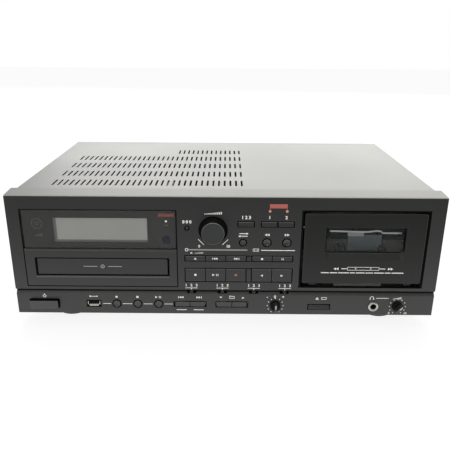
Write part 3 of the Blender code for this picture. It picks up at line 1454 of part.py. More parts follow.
def make_chassis(material):
    """A pan with low side flanges, and posts for the main board."""
    half = COVER_WIDTH / 2 - SHEET - SEAT_GAP
    front = at(FASCIA_DEPTH + SEAT_GAP)
    tucked = at(FASCIA_DEPTH - CHASSIS_TUCK)
    back = at(REAR_FACE_DEPTH)
    chassis = make_piece("chassis", block((-half, half), (front, back), (CHASSIS_Z, CHASSIS_TOP_Z)), material)
    inside = FASCIA_WIDTH / 2 - FASCIA_WALL - SEAT_GAP
    solids = [block(centred(0, 2 * min(half, inside)), (tucked, front + SHEET), (CHASSIS_Z, CHASSIS_TOP_Z))]
    flange_back = back - REAR_PANEL_THICKNESS - SEAT_GAP
    for side in (-1, 1):
        x = centred(side * (half - SHEET / 2), SHEET)
        solids.append(block(x, (front, flange_back), (CHASSIS_Z + SHEET / 2, CHASSIS_Z + CHASSIS_FLANGE)))
    for x, y in standoff_places():
        outline = round_outline(STANDOFF_RADIUS)
        top = CHASSIS_TOP_Z + STANDOFF_HEIGHT
        solids.append(prism(outline, "Z", CHASSIS_Z + SHEET / 2, top, (x, y)))
    return add(chassis, *solids)


def make_top_cover(material):
    """A folded sheet over the top and both sides, with rows of vent slots."""
    half = COVER_WIDTH / 2
    outline = [
        (-half, CHASSIS_Z),
        (-half + SHEET, CHASSIS_Z),
        (-half + SHEET, COVER_TOP_Z - SHEET),
        (half - SHEET, COVER_TOP_Z - SHEET),
        (half - SHEET, CHASSIS_Z),
        (half, CHASSIS_Z),
        (half, COVER_TOP_Z - SHEET),
        (half - SHEET, COVER_TOP_Z),
        (-half + SHEET, COVER_TOP_Z),
        (-half, COVER_TOP_Z - SHEET),
    ]
    front, back = at(FASCIA_DEPTH + SEAT_GAP), at(CASE_DEPTH)
    cover = make_piece("top_cover", prism(outline, "Y", front, back), material)
    slots = []
    right = across(VENT_RIGHT_SHARE)
    fields = [VENT_FIELD_WIDTH] * VENT_ROWS + [VENT_BACK_FIELD_WIDTH]
    levels = (COVER_TOP_Z - SHEET - CUT_OVERRUN, COVER_TOP_Z + CUT_OVERRUN)
    for row, field in enumerate(fields):
        y = at(VENT_FIRST_ROW_DEPTH + row * VENT_ROW_PITCH)
        for column in range(int(field / VENT_PITCH) + 1):
            x = right - column * VENT_PITCH
            slots.append(block(centred(x, VENT_WIDTH), centred(y, VENT_LENGTH), levels))
    return cut(cover, joined(slots))


def rear_jack_centre():
    return (across(REAR_JACK_X_SHARE), FASCIA_UNDERSIDE + REAR_JACK_HEIGHT_SHARE * FASCIA_HEIGHT)


def inlet_centre():
    return (across(INLET_X_SHARE), FASCIA_UNDERSIDE + INLET_HEIGHT_SHARE * FASCIA_HEIGHT)


def make_rear_panel(material):
    half = COVER_WIDTH / 2 - SHEET - SEAT_GAP
    back = at(REAR_FACE_DEPTH)
    front = back - REAR_PANEL_THICKNESS
    levels = (CHASSIS_TOP_Z + SEAT_GAP, COVER_TOP_Z - SHEET - SEAT_GAP)
    panel = make_piece("rear_panel", block((-half, half), (front, back), levels), material)
    body = rear_jack_body_size()
    holes = [
        prism(box_outline(grown(body[0], SEAT_GAP), grown(body[1], SEAT_GAP)), "Y",
              front - CUT_OVERRUN, back + CUT_OVERRUN, rear_jack_centre()),
        prism(box_outline(grown(INLET_SIZE[0], SEAT_GAP), grown(INLET_SIZE[1], SEAT_GAP)), "Y",
              front - CUT_OVERRUN, back + CUT_OVERRUN, inlet_centre()),
    ]
    return cut(panel, joined(holes))


def rear_jack_body_size():
    """The body behind the plate is smaller than the plate by one jack radius all round."""
    return (grown(REAR_JACK_PLATE[0], -REAR_JACK_RADIUS), grown(REAR_JACK_PLATE[1], -REAR_JACK_RADIUS))


def make_rear_jack_block(material):
    centre = rear_jack_centre()
    face = at(REAR_FACE_DEPTH) + SEAT_GAP
    plate_back = face + REAR_JACK_PLATE[2]
    plate = prism(box_outline(*REAR_JACK_PLATE[:2]), "Y", face, plate_back, centre)
    jacks = make_piece("rear_jack_block", plate, material)
    body_front = at(REAR_FACE_DEPTH) - REAR_JACK_BODY_DEPTH
    sunk = face + REAR_JACK_PLATE[2] / 2
    solids = [prism(box_outline(*rear_jack_body_size()), "Y", body_front, sunk, centre)]
    tip = at(CASE_DEPTH) + REAR_JACK_PROUD
    bores = []
    for column in range(REAR_JACK_COLUMNS):
        for row in range(REAR_JACK_ROWS):
            place = (
                centre[0] + (column - (REAR_JACK_COLUMNS - 1) / 2) * REAR_JACK_PITCH,
                centre[1] + (row - (REAR_JACK_ROWS - 1) / 2) * REAR_JACK_ROW_PITCH,
            )
            outline = round_outline(REAR_JACK_RADIUS)
            solids.append(prism(outline, "Y", sunk, tip, place))
            bore = round_outline(REAR_JACK_BORE_RADIUS)
            bores.append(prism(bore, "Y", tip - REAR_JACK_BORE_DEPTH, tip + CUT_OVERRUN, place))
    add(jacks, *solids)
    return cut(jacks, joined(bores))


def make_mains_inlet(material):
    centre = inlet_centre()
    face = at(REAR_FACE_DEPTH) + SEAT_GAP
    outline = box_outline(*INLET_SIZE)
    flange = box_outline(grown(INLET_SIZE[0], INLET_FLANGE), grown(INLET_SIZE[1], INLET_FLANGE))
    back = face + INLET_FLANGE_THICKNESS
    rings = [
        placed(outline, "Y", back - INLET_LENGTH, centre),
        placed(outline, "Y", face, centre),
        placed(flange, "Y", face, centre),
        placed(flange, "Y", back, centre),
    ]
    inlet = make_piece("mains_inlet", loft(rings), material)
    mouth_floor = back - INLET_MOUTH_DEPTH
    mouth = soft_outline(*INLET_MOUTH, INLET_MOUTH_RADIUS)
    cut(inlet, prism(mouth, "Y", mouth_floor, back + CUT_OVERRUN, centre))
    pins = []
    for side in (-1, 1):
        place = (centre[0] + side * INLET_PIN_PITCH / 2, centre[1])
        pin = round_outline(INLET_PIN_RADIUS, SMALL_ROUND_STEPS // 2)
        pins.append(prism(pin, "Y", mouth_floor - INLET_PIN_RADIUS, mouth_floor + INLET_PIN_LENGTH, place))
    return add(inlet, joined(pins))


def make_feet(material):
    top = CHASSIS_Z - SEAT_GAP
    profile = [
        (FOOT_RADIUS - FOOT_EDGE, 0),
        (FOOT_RADIUS, FOOT_EDGE),
        (FOOT_TOP_RADIUS, top),
    ]
    for depth_name, depth_share in (("front", FOOT_FRONT_SHARE), ("rear", FOOT_REAR_SHARE)):
        for side_name, side in (("left", -1), ("right", 1)):
            centre = (side * across(FOOT_SIDE_SHARE), at(depth_share * CASE_DEPTH))
            solid = turned(profile, "Z", centre, LARGE_ROUND_STEPS)
            make_piece(f"foot_{depth_name}_{side_name}", solid, material, (*centre, top))


# Boards


def main_board_corner():
    """The front left corner of the main board."""
    return (across(MAIN_BOARD_X_SHARE) - MAIN_BOARD_WIDTH / 2, at(MAIN_BOARD_FRONT_DEPTH))


def standoff_places():
    x, y = main_board_corner()
    x_places = (x + STANDOFF_INSET, x + MAIN_BOARD_WIDTH - STANDOFF_INSET)
    y_places = (y + STANDOFF_INSET, y + MAIN_BOARD_LENGTH - STANDOFF_INSET)
    return [(x_place, y_place) for x_place in x_places for y_place in y_places]


def make_main_board(material):
    x, y = main_board_corner()
    width, length = MAIN_BOARD_WIDTH, MAIN_BOARD_LENGTH
    low = CHASSIS_TOP_Z + STANDOFF_HEIGHT + SEAT_GAP
    top = low + BOARD_THICKNESS
    sunk = low + BOARD_THICKNESS / 2
    board = make_piece("main_board", block((x, x + width), (y, y + length), (low, top)), material)
    parts = []
    for shares in CAPACITOR_SHARES:
        place = (x + shares[0] * width, y + shares[1] * length)
        parts.append(prism(round_outline(CAPACITOR_RADIUS), "Z", sunk, top + CAPACITOR_HEIGHT, place))
    blocks = (
        (HEAT_SINK_SIZE, HEAT_SINK_SHARES),
        (CHIP_SIZE, CHIP_SHARES),
        (SOCKET_SIZE, SOCKET_SHARES),
    )
    for size, shares in blocks:
        x_range = centred(x + shares[0] * width, size[0])
        y_range = centred(y + shares[1] * length, size[1])
        parts.append(block(x_range, y_range, (sunk, top + size[2])))
    return add(board, joined(parts))


def make_transformer(material):
    x = across(TRANSFORMER_X_SHARE)
    y = at(TRANSFORMER_DEPTH_SHARE * CASE_DEPTH)
    foot = CHASSIS_TOP_Z + SEAT_GAP
    core_top = foot + TRANSFORMER_CORE[2]
    core = block(centred(x, TRANSFORMER_CORE[0]), centred(y, TRANSFORMER_CORE[1]), (foot, core_top))
    winding = block(
        centred(x, TRANSFORMER_WINDING[0]),
        centred(y, TRANSFORMER_WINDING[1]),
        centred((foot + core_top) / 2, TRANSFORMER_WINDING[2]),
    )
    flange = block(
        centred(x, TRANSFORMER_FLANGE[0]),
        centred(y, TRANSFORMER_FLANGE[1]),
        (foot, foot + TRANSFORMER_FLANGE[2]),
    )
    return add(make_piece("power_transformer", core, material), winding, flange)


def clear_scene():
    for old in list(bpy.data.objects):
        bpy.data.objects.remove(old)


def main():
    clear_scene()
    fascia = make_material("fascia_plastic", (0.045, 0.048, 0.046), 0.45)
    keys = make_material("key_plastic", (0.05, 0.053, 0.051), 0.4)
    knob = make_material("knob_plastic", (0.04, 0.042, 0.042), 0.35)
    steel = make_material("painted_steel", (0.16, 0.155, 0.15), 0.4, 0.3)
    plated = make_material("plated_steel", (0.55, 0.56, 0.55), 0.35, 1.0)
    smoked = make_material("smoked_acrylic", (0.05, 0.05, 0.055), 0.1, 0.0, 0.5)
    clear = make_material("clear_acrylic", (0.3, 0.32, 0.35), 0.1, 0.0, 0.4)
    circuit = make_material("circuit_board", (0.05, 0.16, 0.07), 0.5)
    tray = make_material("tray_plastic", (0.03, 0.03, 0.03), 0.4)
    rubber = make_material("foot_plastic", (0.02, 0.02, 0.02), 0.6)
    chrome = make_material("socket_metal", (0.7, 0.7, 0.68), 0.25, 1.0)
    copper = make_material("transformer_iron", (0.3, 0.28, 0.25), 0.5, 0.6)

    make_front_panel(fascia)
    make_display_window(smoked)
    make_display_board(circuit)
    make_phones_jack(chrome)
    make_usb_socket(chrome)
    make_keys(keys)
    make_upper_buttons(keys)
    make_strip_buttons(keys)
    make_rocker("skip_rocker", SKIP_ROCKER_PLACE_SHARES, keys)
    make_rocker("folder_rocker", FOLDER_ROCKER_PLACE_SHARES, keys)
    make_slide_switches(keys)
    make_level_knob(knob)
    make_small_knob("pitch_knob", PITCH_PLACE_SHARES, knob)
    make_small_knob("phones_level_knob", PHONES_LEVEL_PLACE_SHARES, knob)

    make_door(fascia)
    make_door_window(clear)
    make_cassette_holder(tray)
    make_mechanism_plate(plated)
    for name, place in zip(("reel_spindle_left", "reel_spindle_right"), reel_places()):
        make_reel_spindle(name, place, tray)
    for name, place in zip(("capstan_left", "capstan_right"), capstan_places()):
        make_capstan(name, place, plated)
    make_head_block(plated)

    make_tray_front(fascia)
    make_disc_tray(tray)
    make_disc_drive_frame(tray)
    make_disc_spindle(plated)

    make_chassis(plated)
    make_top_cover(steel)
    make_rear_panel(steel)
    make_rear_jack_block(tray)
    make_mains_inlet(tray)
    make_feet(rubber)
    make_main_board(circuit)
    make_transformer(copper)


main()
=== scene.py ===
import json
import math

import bmesh
import bpy
from mathutils import Matrix, Vector

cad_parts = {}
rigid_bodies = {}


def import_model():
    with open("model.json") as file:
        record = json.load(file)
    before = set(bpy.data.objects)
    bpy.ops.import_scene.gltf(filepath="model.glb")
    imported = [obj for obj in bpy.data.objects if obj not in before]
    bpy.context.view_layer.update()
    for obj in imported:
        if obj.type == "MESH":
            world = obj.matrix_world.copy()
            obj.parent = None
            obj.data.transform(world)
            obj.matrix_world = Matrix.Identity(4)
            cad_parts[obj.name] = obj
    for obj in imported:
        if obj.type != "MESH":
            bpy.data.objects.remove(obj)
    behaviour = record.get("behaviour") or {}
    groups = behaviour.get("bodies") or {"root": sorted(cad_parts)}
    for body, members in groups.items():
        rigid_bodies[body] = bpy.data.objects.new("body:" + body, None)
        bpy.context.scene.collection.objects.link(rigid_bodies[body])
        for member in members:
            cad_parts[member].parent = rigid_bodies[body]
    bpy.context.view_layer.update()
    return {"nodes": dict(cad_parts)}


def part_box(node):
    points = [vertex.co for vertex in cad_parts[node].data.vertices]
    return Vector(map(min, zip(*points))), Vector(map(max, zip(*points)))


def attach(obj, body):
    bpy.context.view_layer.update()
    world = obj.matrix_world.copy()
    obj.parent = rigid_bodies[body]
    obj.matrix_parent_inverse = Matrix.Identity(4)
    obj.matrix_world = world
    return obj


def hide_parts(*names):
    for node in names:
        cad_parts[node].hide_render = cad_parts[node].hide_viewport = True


for spare in list(bpy.data.objects):
    bpy.data.objects.remove(spare)
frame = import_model()
print("frame loaded:", len(frame["nodes"]), "nodes")

mm = 0.001
topRise = 1.6 * mm    # how far the panel's top edge climbs towards the cover
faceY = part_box("front_panel")[0].y
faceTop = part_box("front_panel")[1].z - topRise
straight = math.radians(90)


# places on the front: x from the middle, drop below the top edge, depth behind the face, all in mm
def spot(x, drop, depth=0.0):
    return Vector((x * mm, faceY + depth * mm, faceTop - drop * mm))


def dropOf(face):
    return (faceTop - face.center.z) / mm


def depthOf(face):
    return (face.center.y - faceY) / mm


# a node's box in the same measures: left, right, top, foot, front, back
def frontBox(node):
    low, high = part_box(node)
    return (
        low.x / mm, high.x / mm, (faceTop - high.z) / mm, (faceTop - low.z) / mm,
        (low.y - faceY) / mm, (high.y - faceY) / mm,
    )


def middleOf(node):
    left, right, top, foot, _, _ = frontBox(node)
    return (left + right) / 2, (top + foot) / 2


# the camera is solved from the edges of the case in the photograph
cameraFit = {
    "place": (0.00042, -0.63796, 0.2961),
    "pitch": 0.34483,
    "yaw": -0.00218,
    "roll": -0.00631,
    "lens": 43.41,
    "sensor": 36.0,
}


def addCamera(fit):
    pitch, yaw, roll = fit["pitch"], fit["yaw"], fit["roll"]
    ahead = Vector((math.sin(yaw) * math.cos(pitch), math.cos(yaw) * math.cos(pitch), -math.sin(pitch)))
    right = Vector((math.cos(yaw), -math.sin(yaw), 0.0))
    down = ahead.cross(right)
    aside = right * math.cos(roll) + down * math.sin(roll)
    below = down * math.cos(roll) - right * math.sin(roll)
    bpy.ops.object.camera_add(location=fit["place"])
    camera = bpy.context.object
    camera.name = "deckCamera"
    camera.rotation_euler = Matrix((aside, -below, -ahead)).transposed().to_euler()
    camera.data.lens = fit["lens"]
    camera.data.sensor_width = fit["sensor"]
    camera.data.clip_start = 0.01
    bpy.context.scene.camera = camera


addCamera(cameraFit)

studio = {
    "floorSize": 8.0,
    "floorColour": (0.80, 0.80, 0.80, 1.0),
    "floorShare": 0.22,
    "floorEnds": (-0.15, -0.50),    # where the floor begins and stops to darken, as gloss sees it
    "floorGlow": (0.05, 0.85),
    "skyStrength": 0.5,
    "skyEnds": (-0.10, -0.85),
    "skyGlow": (0.10, 1.0),
    "lamps": {
        "roof": ((0.0, 0.35, 1.25), (1.5, 1.1), 9.0, (1.0, 1.0, 1.0)),
        "front": ((-0.35, -1.45, 0.75), (1.1, 0.7), 6.0, (1.0, 1.0, 1.0)),
        "back": ((0.25, 1.9, 0.85), (2.4, 1.1), 20.5, (1.0, 0.99, 0.93)),
    },
}


# a new shader node; fed gives its sockets a plain value or another node's output
def addNode(tree, kind, place, fed=(), **settings):
    node = tree.nodes.new("ShaderNode" + kind)
    node.location = place
    for name, value in settings.items():
        setattr(node, name, value)
    for socket, value in dict(fed).items():
        if isinstance(value, bpy.types.NodeSocket):
            tree.links.new(value, node.inputs[socket])
        else:
            node.inputs[socket].default_value = value
    return node


# white to the eye, to gloss and to glass, and plain to the light itself
def seenDirectly(tree):
    rays = addNode(tree, "LightPath", (-500, 400)).outputs
    first = {0: rays["Is Camera Ray"], 1: rays["Is Glossy Ray"]}
    either = addNode(tree, "Math", (-300, 400), first, operation="MAXIMUM").outputs[0]
    second = {0: either, 1: rays["Is Transmission Ray"]}
    return addNode(tree, "Math", (-100, 400), second, operation="MAXIMUM").outputs[0]


# gloss sees the surroundings grow darker towards the viewer, as in a room lit from behind
def darkerInGloss(tree, coordinate, ends, levels):
    place = addNode(tree, "TexCoord", (-1300, -300))
    parts = addNode(tree, "SeparateXYZ", (-1100, -300), {0: place.outputs[coordinate]})
    fade = addNode(tree, "MapRange", (-900, -300), {
        "Value": parts.outputs["Y"], "From Min": ends[1], "From Max": ends[0],
        "To Min": levels[0], "To Max": levels[1],
    }, interpolation_type="SMOOTHSTEP")
    rays = addNode(tree, "LightPath", (-900, -600)).outputs
    chosen = {0: rays["Is Glossy Ray"], 2: levels[1], 3: fade.outputs["Result"]}
    return addNode(tree, "Mix", (-600, -300), chosen, data_type="FLOAT").outputs[0]


def floorFinish(values):
    material = bpy.data.materials.new("studioFloor")
    material.use_nodes = True
    tree = material.node_tree
    tree.nodes.clear()
    plain = addNode(tree, "BsdfDiffuse", (0, 200), {"Color": values["floorColour"]})
    shaded = addNode(tree, "BsdfDiffuse", (0, 0), {"Color": (values["floorShare"],) * 3 + (1.0,)})
    fade = darkerInGloss(tree, "Object", values["floorEnds"], values["floorGlow"])
    shine = addNode(tree, "Emission", (0, -200), {"Strength": fade})
    added = addNode(tree, "AddShader", (250, -100), {0: shaded.outputs[0], 1: shine.outputs[0]})
    mixed = addNode(tree, "MixShader", (650, 0), {
        0: seenDirectly(tree), 1: plain.outputs[0], 2: added.outputs[0],
    })
    addNode(tree, "OutputMaterial", (900, 0), {"Surface": mixed.outputs[0]})
    return material


def addStudio(values):
    bpy.ops.mesh.primitive_plane_add(size=values["floorSize"])
    floor = bpy.context.object
    floor.name = "studioFloor"
    floor.data.materials.append(floorFinish(values))
    world = bpy.data.worlds.new("studioSky")
    bpy.context.scene.world = world
    world.use_nodes = True
    tree = world.node_tree
    tree.nodes.clear()
    white = (1.0, 1.0, 1.0, 1.0)
    soft = addNode(tree, "Background", (300, 100), {"Color": white, "Strength": values["skyStrength"]})
    fade = darkerInGloss(tree, "Generated", values["skyEnds"], values["skyGlow"])
    seen = addNode(tree, "Background", (300, -100), {"Color": white, "Strength": fade})
    mixed = addNode(tree, "MixShader", (650, 0), {
        0: seenDirectly(tree), 1: soft.outputs[0], 2: seen.outputs[0],
    })
    addNode(tree, "OutputWorld", (900, 0), {"Surface": mixed.outputs[0]})
    for lamp, (place, size, power, colour) in values["lamps"].items():
        bpy.ops.object.light_add(type="AREA", location=place)
        light = bpy.context.object
        light.name = lamp + "Light"
        light.data.shape = "RECTANGLE"
        light.data.size, light.data.size_y = size
        light.data.energy = power
        light.data.color = colour
        light.rotation_euler = (-Vector(place)).to_track_quat("-Z", "Y").to_euler()


addStudio(studio)
bpy.context.scene.view_settings.view_transform = "Standard"
print("camera, floor and lights placed")


# finishes: each reads the piece's own place, so the grain stays put as the piece moves
def finish(name, colour, roughness, **extra):
    values = {
        "metal": 0.0, "gloss": 0.5, "coat": 0.0, "coatRoughness": 0.25, "alpha": 1.0,
        "cloud": 0.10, "cloudSize": 14.0, "speckle": 0.10, "grainSize": 2600.0, "grain": 0.15,
        "roughSpread": 0.06, "stretch": (1.0, 1.0, 1.0),
        "wear": 0.0, "wearWidth": 0.35, "wearColour": (0.30, 0.30, 0.29),
    }
    values.update(extra)
    material = bpy.data.materials.new(name)
    material.use_nodes = True
    tree = material.node_tree
    shader = tree.nodes["Principled BSDF"]
    shader.location = (600, 0)
    for socket, value in (
        ("Metallic", "metal"), ("Specular IOR Level", "gloss"), ("Coat Weight", "coat"),
        ("Coat Roughness", "coatRoughness"), ("Alpha", "alpha"),
    ):
        shader.inputs[socket].default_value = values[value]
    place = addNode(tree, "TexCoord", (-1300, 0)).outputs["Object"]
    along = addNode(
        tree, "Mapping", (-1100, 0), {"Vector": place, "Scale": values["stretch"]}
    ).outputs["Vector"]
    clouds = addNode(
        tree, "TexNoise", (-850, 250), {"Vector": along, "Scale": values["cloudSize"], "Detail": 3.0}
    ).outputs["Fac"]
    grains = addNode(
        tree, "TexNoise", (-850, -150), {"Vector": along, "Scale": values["grainSize"], "Detail": 2.0}
    ).outputs["Fac"]
    dark, pale = (
        tuple(min(1.0, part * share) for part in colour) + (1.0,)
        for share in (1 - values["cloud"], 1 + values["cloud"])
    )
    cloudy = addNode(tree, "Mix", (-500, 300), {0: clouds, 6: dark, 7: pale}, data_type="RGBA")
    speckled = addNode(tree, "MapRange", (-500, 0), {
        "Value": grains, "To Min": 1 - values["speckle"], "To Max": 1 + values["speckle"],
    })
    grainy = addNode(tree, "Mix", (-250, 200), {
        0: 1.0, 6: cloudy.outputs[2], 7: speckled.outputs["Result"],
    }, data_type="RGBA", blend_type="MULTIPLY")
    dull = addNode(tree, "MapRange", (-250, -100), {
        "Value": clouds, "To Min": max(0.02, roughness - values["roughSpread"]),
        "To Max": roughness + values["roughSpread"],
    })
    bump = addNode(tree, "Bump", (300, -300), {
        "Strength": values["grain"], "Distance": 0.05 * mm, "Height": grains,
    })
    colourEnd = addWearHighlight(tree, grainy.outputs[2], values) if values["wear"] else grainy.outputs[2]
    tree.links.new(colourEnd, shader.inputs["Base Color"])
    tree.links.new(dull.outputs["Result"], shader.inputs["Roughness"])
    tree.links.new(bump.outputs["Normal"], shader.inputs["Normal"])
    return material


# a lighter line along the edges: partly rubbed wear, partly a painted highlight where the edges catch the
# light
def addWearHighlight(tree, colourEnd, values):
    soft = addNode(tree, "Bevel", (-850, -500), {"Radius": values["wearWidth"] * mm}, samples=4)
    flat = addNode(tree, "NewGeometry", (-850, -700))
    turn = addNode(tree, "VectorMath", (-600, -600), {
        0: soft.outputs["Normal"], 1: flat.outputs["Normal"],
    }, operation="DOT_PRODUCT")
    wornAndLit = addNode(tree, "MapRange", (-350, -600), {
        "Value": turn.outputs["Value"], "From Min": 1.0, "From Max": 0.8, "To Max": values["wear"],
    })
    rubbedAndLit = addNode(tree, "Mix", (100, 200), {
        0: wornAndLit.outputs["Result"], 6: colourEnd, 7: values["wearColour"] + (1.0,),
    }, data_type="RGBA")
    return rubbedAndLit.outputs[2]


def glow(material, colour, strength):
    shader = material.node_tree.nodes["Principled BSDF"]
    shader.inputs["Emission Color"].default_value = colour + (1.0,)
    shader.inputs["Emission Strength"].default_value = strength
    return material


def printInk(name, colour):
    return finish(name, colour, 0.55, cloud=0.06, speckle=0.08, grain=0.05)


# the wear values give lighter edges: partly rubbed wear, partly painted highlight
panelPaint = finish(
    "charcoalPanelPaint", (0.0080, 0.0100, 0.0072), 0.42, cloud=0.12, speckle=0.22, grain=0.2, wear=0.3,
    wearColour=(0.07, 0.075, 0.07), wearWidth=0.3, gloss=0.85,
)
keyPlastic = finish(
    "charcoalKeyPlastic", (0.0085, 0.0108, 0.0088), 0.40, cloud=0.08, speckle=0.14, grain=0.12, wear=0.8,
    wearColour=(0.17, 0.175, 0.165), gloss=0.8,
)
doorPlastic = finish(
    "charcoalDoorPlastic", (0.0064, 0.0084, 0.0060), 0.38, speckle=0.20, grain=0.16, wear=0.5,
    wearColour=(0.09, 0.095, 0.088), wearWidth=0.4,
)
knobSidePlastic = finish("blackKnobSide", (0.003, 0.004, 0.003), 0.5, gloss=0.15, grain=0.1)
# painted shade: black for pocket floors and walls, key sides and other hollows
recessShade = finish("paintedRecessShade", (0.0025, 0.003, 0.0025), 0.6, gloss=0.12, grain=0.1)
knobFacePlastic = finish(
    "spunKnobFace", (0.020, 0.0215, 0.0215), 0.36, cloud=0.06, speckle=0.12, grainSize=1500.0, grain=0.12,
    gloss=0.8,
)
knobRimMetal = finish("brightKnobRim", (0.17, 0.17, 0.17), 0.34, metal=0.5, grain=0.08)
# the grip's edges carry a strong painted highlight through its wear values
gripPlastic = finish(
    "ribbedGripPlastic", (0.020, 0.022, 0.021), 0.34, speckle=0.12, grain=0.1, gloss=0.9, wear=0.9,
    wearColour=(0.34, 0.34, 0.33), wearWidth=0.6,
)
buttonFacePlastic = finish("greyButtonFace", (0.020, 0.023, 0.020), 0.36, speckle=0.14, grain=0.12, gloss=0.9)
rockerPlastic = finish("greyRockerPlastic", (0.016, 0.019, 0.016), 0.36, speckle=0.14, grain=0.12, gloss=0.9)
powerPlastic = finish(
    "palePowerPlastic", (0.022, 0.025, 0.023), 0.36, cloud=0.08, speckle=0.14, grain=0.10, wear=0.5,
    wearColour=(0.16, 0.17, 0.16), gloss=0.9,
)
keyRimHighlight = finish(
    "paintedKeyRimHighlight", (0.105, 0.108, 0.100), 0.38, cloud=0.2, speckle=0.2, grain=0.1, gloss=0.8,
)
sillHighlight = finish("paintedSillHighlight", (0.070, 0.074, 0.066), 0.4, speckle=0.12, grain=0.1, gloss=0.8)
# a shaded copy of the door plastic for the upward sight slopes
slopeShadedPlastic = finish(
    "shadedDoorSlope", (0.022, 0.025, 0.020), 0.5, gloss=0.3, grain=0.14, speckle=0.15, wear=0.7,
    wearColour=(0.20, 0.21, 0.19), wearWidth=0.5,
)
topEdgeSheen = finish("paintedTopEdgeHighlight", (0.30, 0.30, 0.285), 0.4, grain=0.08)
ledgeHighlight = finish(
    "paintedLedgeHighlight", (0.030, 0.033, 0.028), 0.42, cloud=0.2, speckle=0.2, grain=0.2, gloss=0.7,
)
coverPaint = finish(
    "greyCoverPaint", (0.085, 0.086, 0.081), 0.46, cloud=0.05, cloudSize=7.0, grainSize=1900.0, grain=0.18,
    gloss=0.7, coat=0.25, coatRoughness=0.42, wear=0.3, wearColour=(0.34, 0.34, 0.33), wearWidth=0.4,
)
# a paler, lit copy of the panel paint for its top faces: painted sheen
topSheen = finish(
    "paintedTopSheen", (0.120, 0.115, 0.103), 0.46, cloud=0.05, cloudSize=7.0, speckle=0.14, grainSize=1900.0,
    grain=0.18, gloss=0.7, coat=0.25, coatRoughness=0.42,
)
platedSteel = finish(
    "zincPlatedSteel", (0.50, 0.50, 0.48), 0.36, metal=0.9, cloud=0.16, cloudSize=30.0, speckle=0.08,
    grainSize=900.0, grain=0.10, roughSpread=0.12,
)
# painted shade for inner faces seen through openings
innerShadeSteel = finish("paintedInnerShade", (0.030, 0.030, 0.029), 0.6, grain=0.1, gloss=0.2)
innerPlastic = finish("blackInnerPlastic", (0.014, 0.014, 0.014), 0.48, grain=0.12, speckle=0.15)
trayPlastic = finish("blackTrayPlastic", (0.017, 0.017, 0.018), 0.40, grain=0.16, speckle=0.15, wear=0.25)
reelPlastic = finish("blackReelPlastic", (0.045, 0.047, 0.042), 0.6, gloss=0.1, grain=0.1)
wellPlastic = finish("darkWellPlastic", (0.115, 0.120, 0.104), 0.55, grain=0.12, speckle=0.12, gloss=0.25)
catchPlastic = finish("blueGreyCatch", (0.34, 0.375, 0.40), 0.35, grain=0.06, speckle=0.06)
padPlastic = finish("blueGreySightPad", (0.120, 0.134, 0.142), 0.5, grain=0.05, speckle=0.06)
boardGreen = finish(
    "greenCircuitBoard", (0.028, 0.11, 0.045), 0.34, cloud=0.30, cloudSize=180.0, speckle=0.3,
    grainSize=700.0, grain=0.10, coat=0.4,
)
flatCable = finish(
    "flatRibbonCable", (0.52, 0.52, 0.50), 0.45, cloud=0.05, grainSize=420.0, grain=0.9, speckle=0.22,
    stretch=(1.0, 0.02, 0.02),
)
socketMetal = finish("nickelSocketMetal", (0.62, 0.60, 0.56), 0.24, metal=0.95, grain=0.06, grainSize=1200.0)
chromeRing = finish("chromeRing", (0.52, 0.52, 0.49), 0.2, metal=1.0, grain=0.04, grainSize=1200.0)
goldContact = finish("goldContact", (0.70, 0.48, 0.18), 0.25, metal=1.0, grain=0.05)
creamShell = finish("creamSocketShell", (0.66, 0.63, 0.54), 0.30, metal=0.35, grain=0.08, grainSize=1200.0)
springSteel = finish(
    "brightSpringSteel", (0.80, 0.79, 0.76), 0.34, metal=0.6, grain=0.12, grainSize=900.0,
    stretch=(0.08, 1.0, 1.0),
)
transformerIron = finish(
    "laminatedIron", (0.10, 0.095, 0.09), 0.45, metal=0.6, grainSize=1100.0, grain=0.5,
    stretch=(0.05, 0.05, 1.0),
)
footRubber = finish("softFootRubber", (0.020, 0.020, 0.020), 0.72, grain=0.35, grainSize=1500.0, gloss=0.3)
screwBlack = finish("blackScrew", (0.03, 0.03, 0.03), 0.34, metal=0.5, grainSize=1400.0)
screwPale = finish("platedScrew", (0.55, 0.54, 0.50), 0.28, metal=0.9, grain=0.1, grainSize=1400.0)
jackCollars = {
    "red": finish("redJackCollar", (0.42, 0.03, 0.025), 0.35, grain=0.08),
    "white": finish("whiteJackCollar", (0.72, 0.71, 0.67), 0.35, grain=0.08),
}
# the white print also glows faintly: painted light that lifts it
glowingWhitePrint = glow(printInk("glowingWhitePrint", (0.86, 0.87, 0.83)), (0.9, 0.9, 0.87), 0.10)
greyPrint = printInk("greyPrint", (0.38, 0.39, 0.37))
faintPrint = printInk("faintGreyPrint", (0.20, 0.21, 0.20))
traySignGrey = printInk("traySignGrey", (0.46, 0.47, 0.45))
redPrint = finish("redPrint", (0.50, 0.13, 0.10), 0.50, cloud=0.08, grain=0.05)
redLamp = glow(finish("redLampLens", (0.52, 0.16, 0.14), 0.25, grain=0.05), (0.80, 0.40, 0.38), 0.25)
whiteLamp = glow(finish("whiteLampLens", (0.85, 0.85, 0.83), 0.25, grain=0.05), (1.0, 1.0, 0.98), 1.1)
receiverBlue = finish("smokedReceiverBlue", (0.012, 0.018, 0.055), 0.22, grain=0.05, coat=0.4)
displayFilter = finish(
    "paleDisplayFilter", (0.70, 0.70, 0.66), 0.50, cloud=0.05, cloudSize=20.0, speckle=0.04, grain=0.05,
)
displayRimShade = finish("paintedDisplayRimShade", (0.30, 0.31, 0.29), 0.5, cloud=0.06, speckle=0.06, grain=0.05)
maskGrey = finish("greyWindowMask", (0.074, 0.076, 0.070), 0.6, cloud=0.08, speckle=0.08, grain=0.03)
smokedWindow = finish(
    "smokedWindow", (0.030, 0.033, 0.030), 0.16, cloud=0.05, speckle=0.05, grain=0.02, alpha=0.20,
    gloss=0.6, roughSpread=0.02,
)
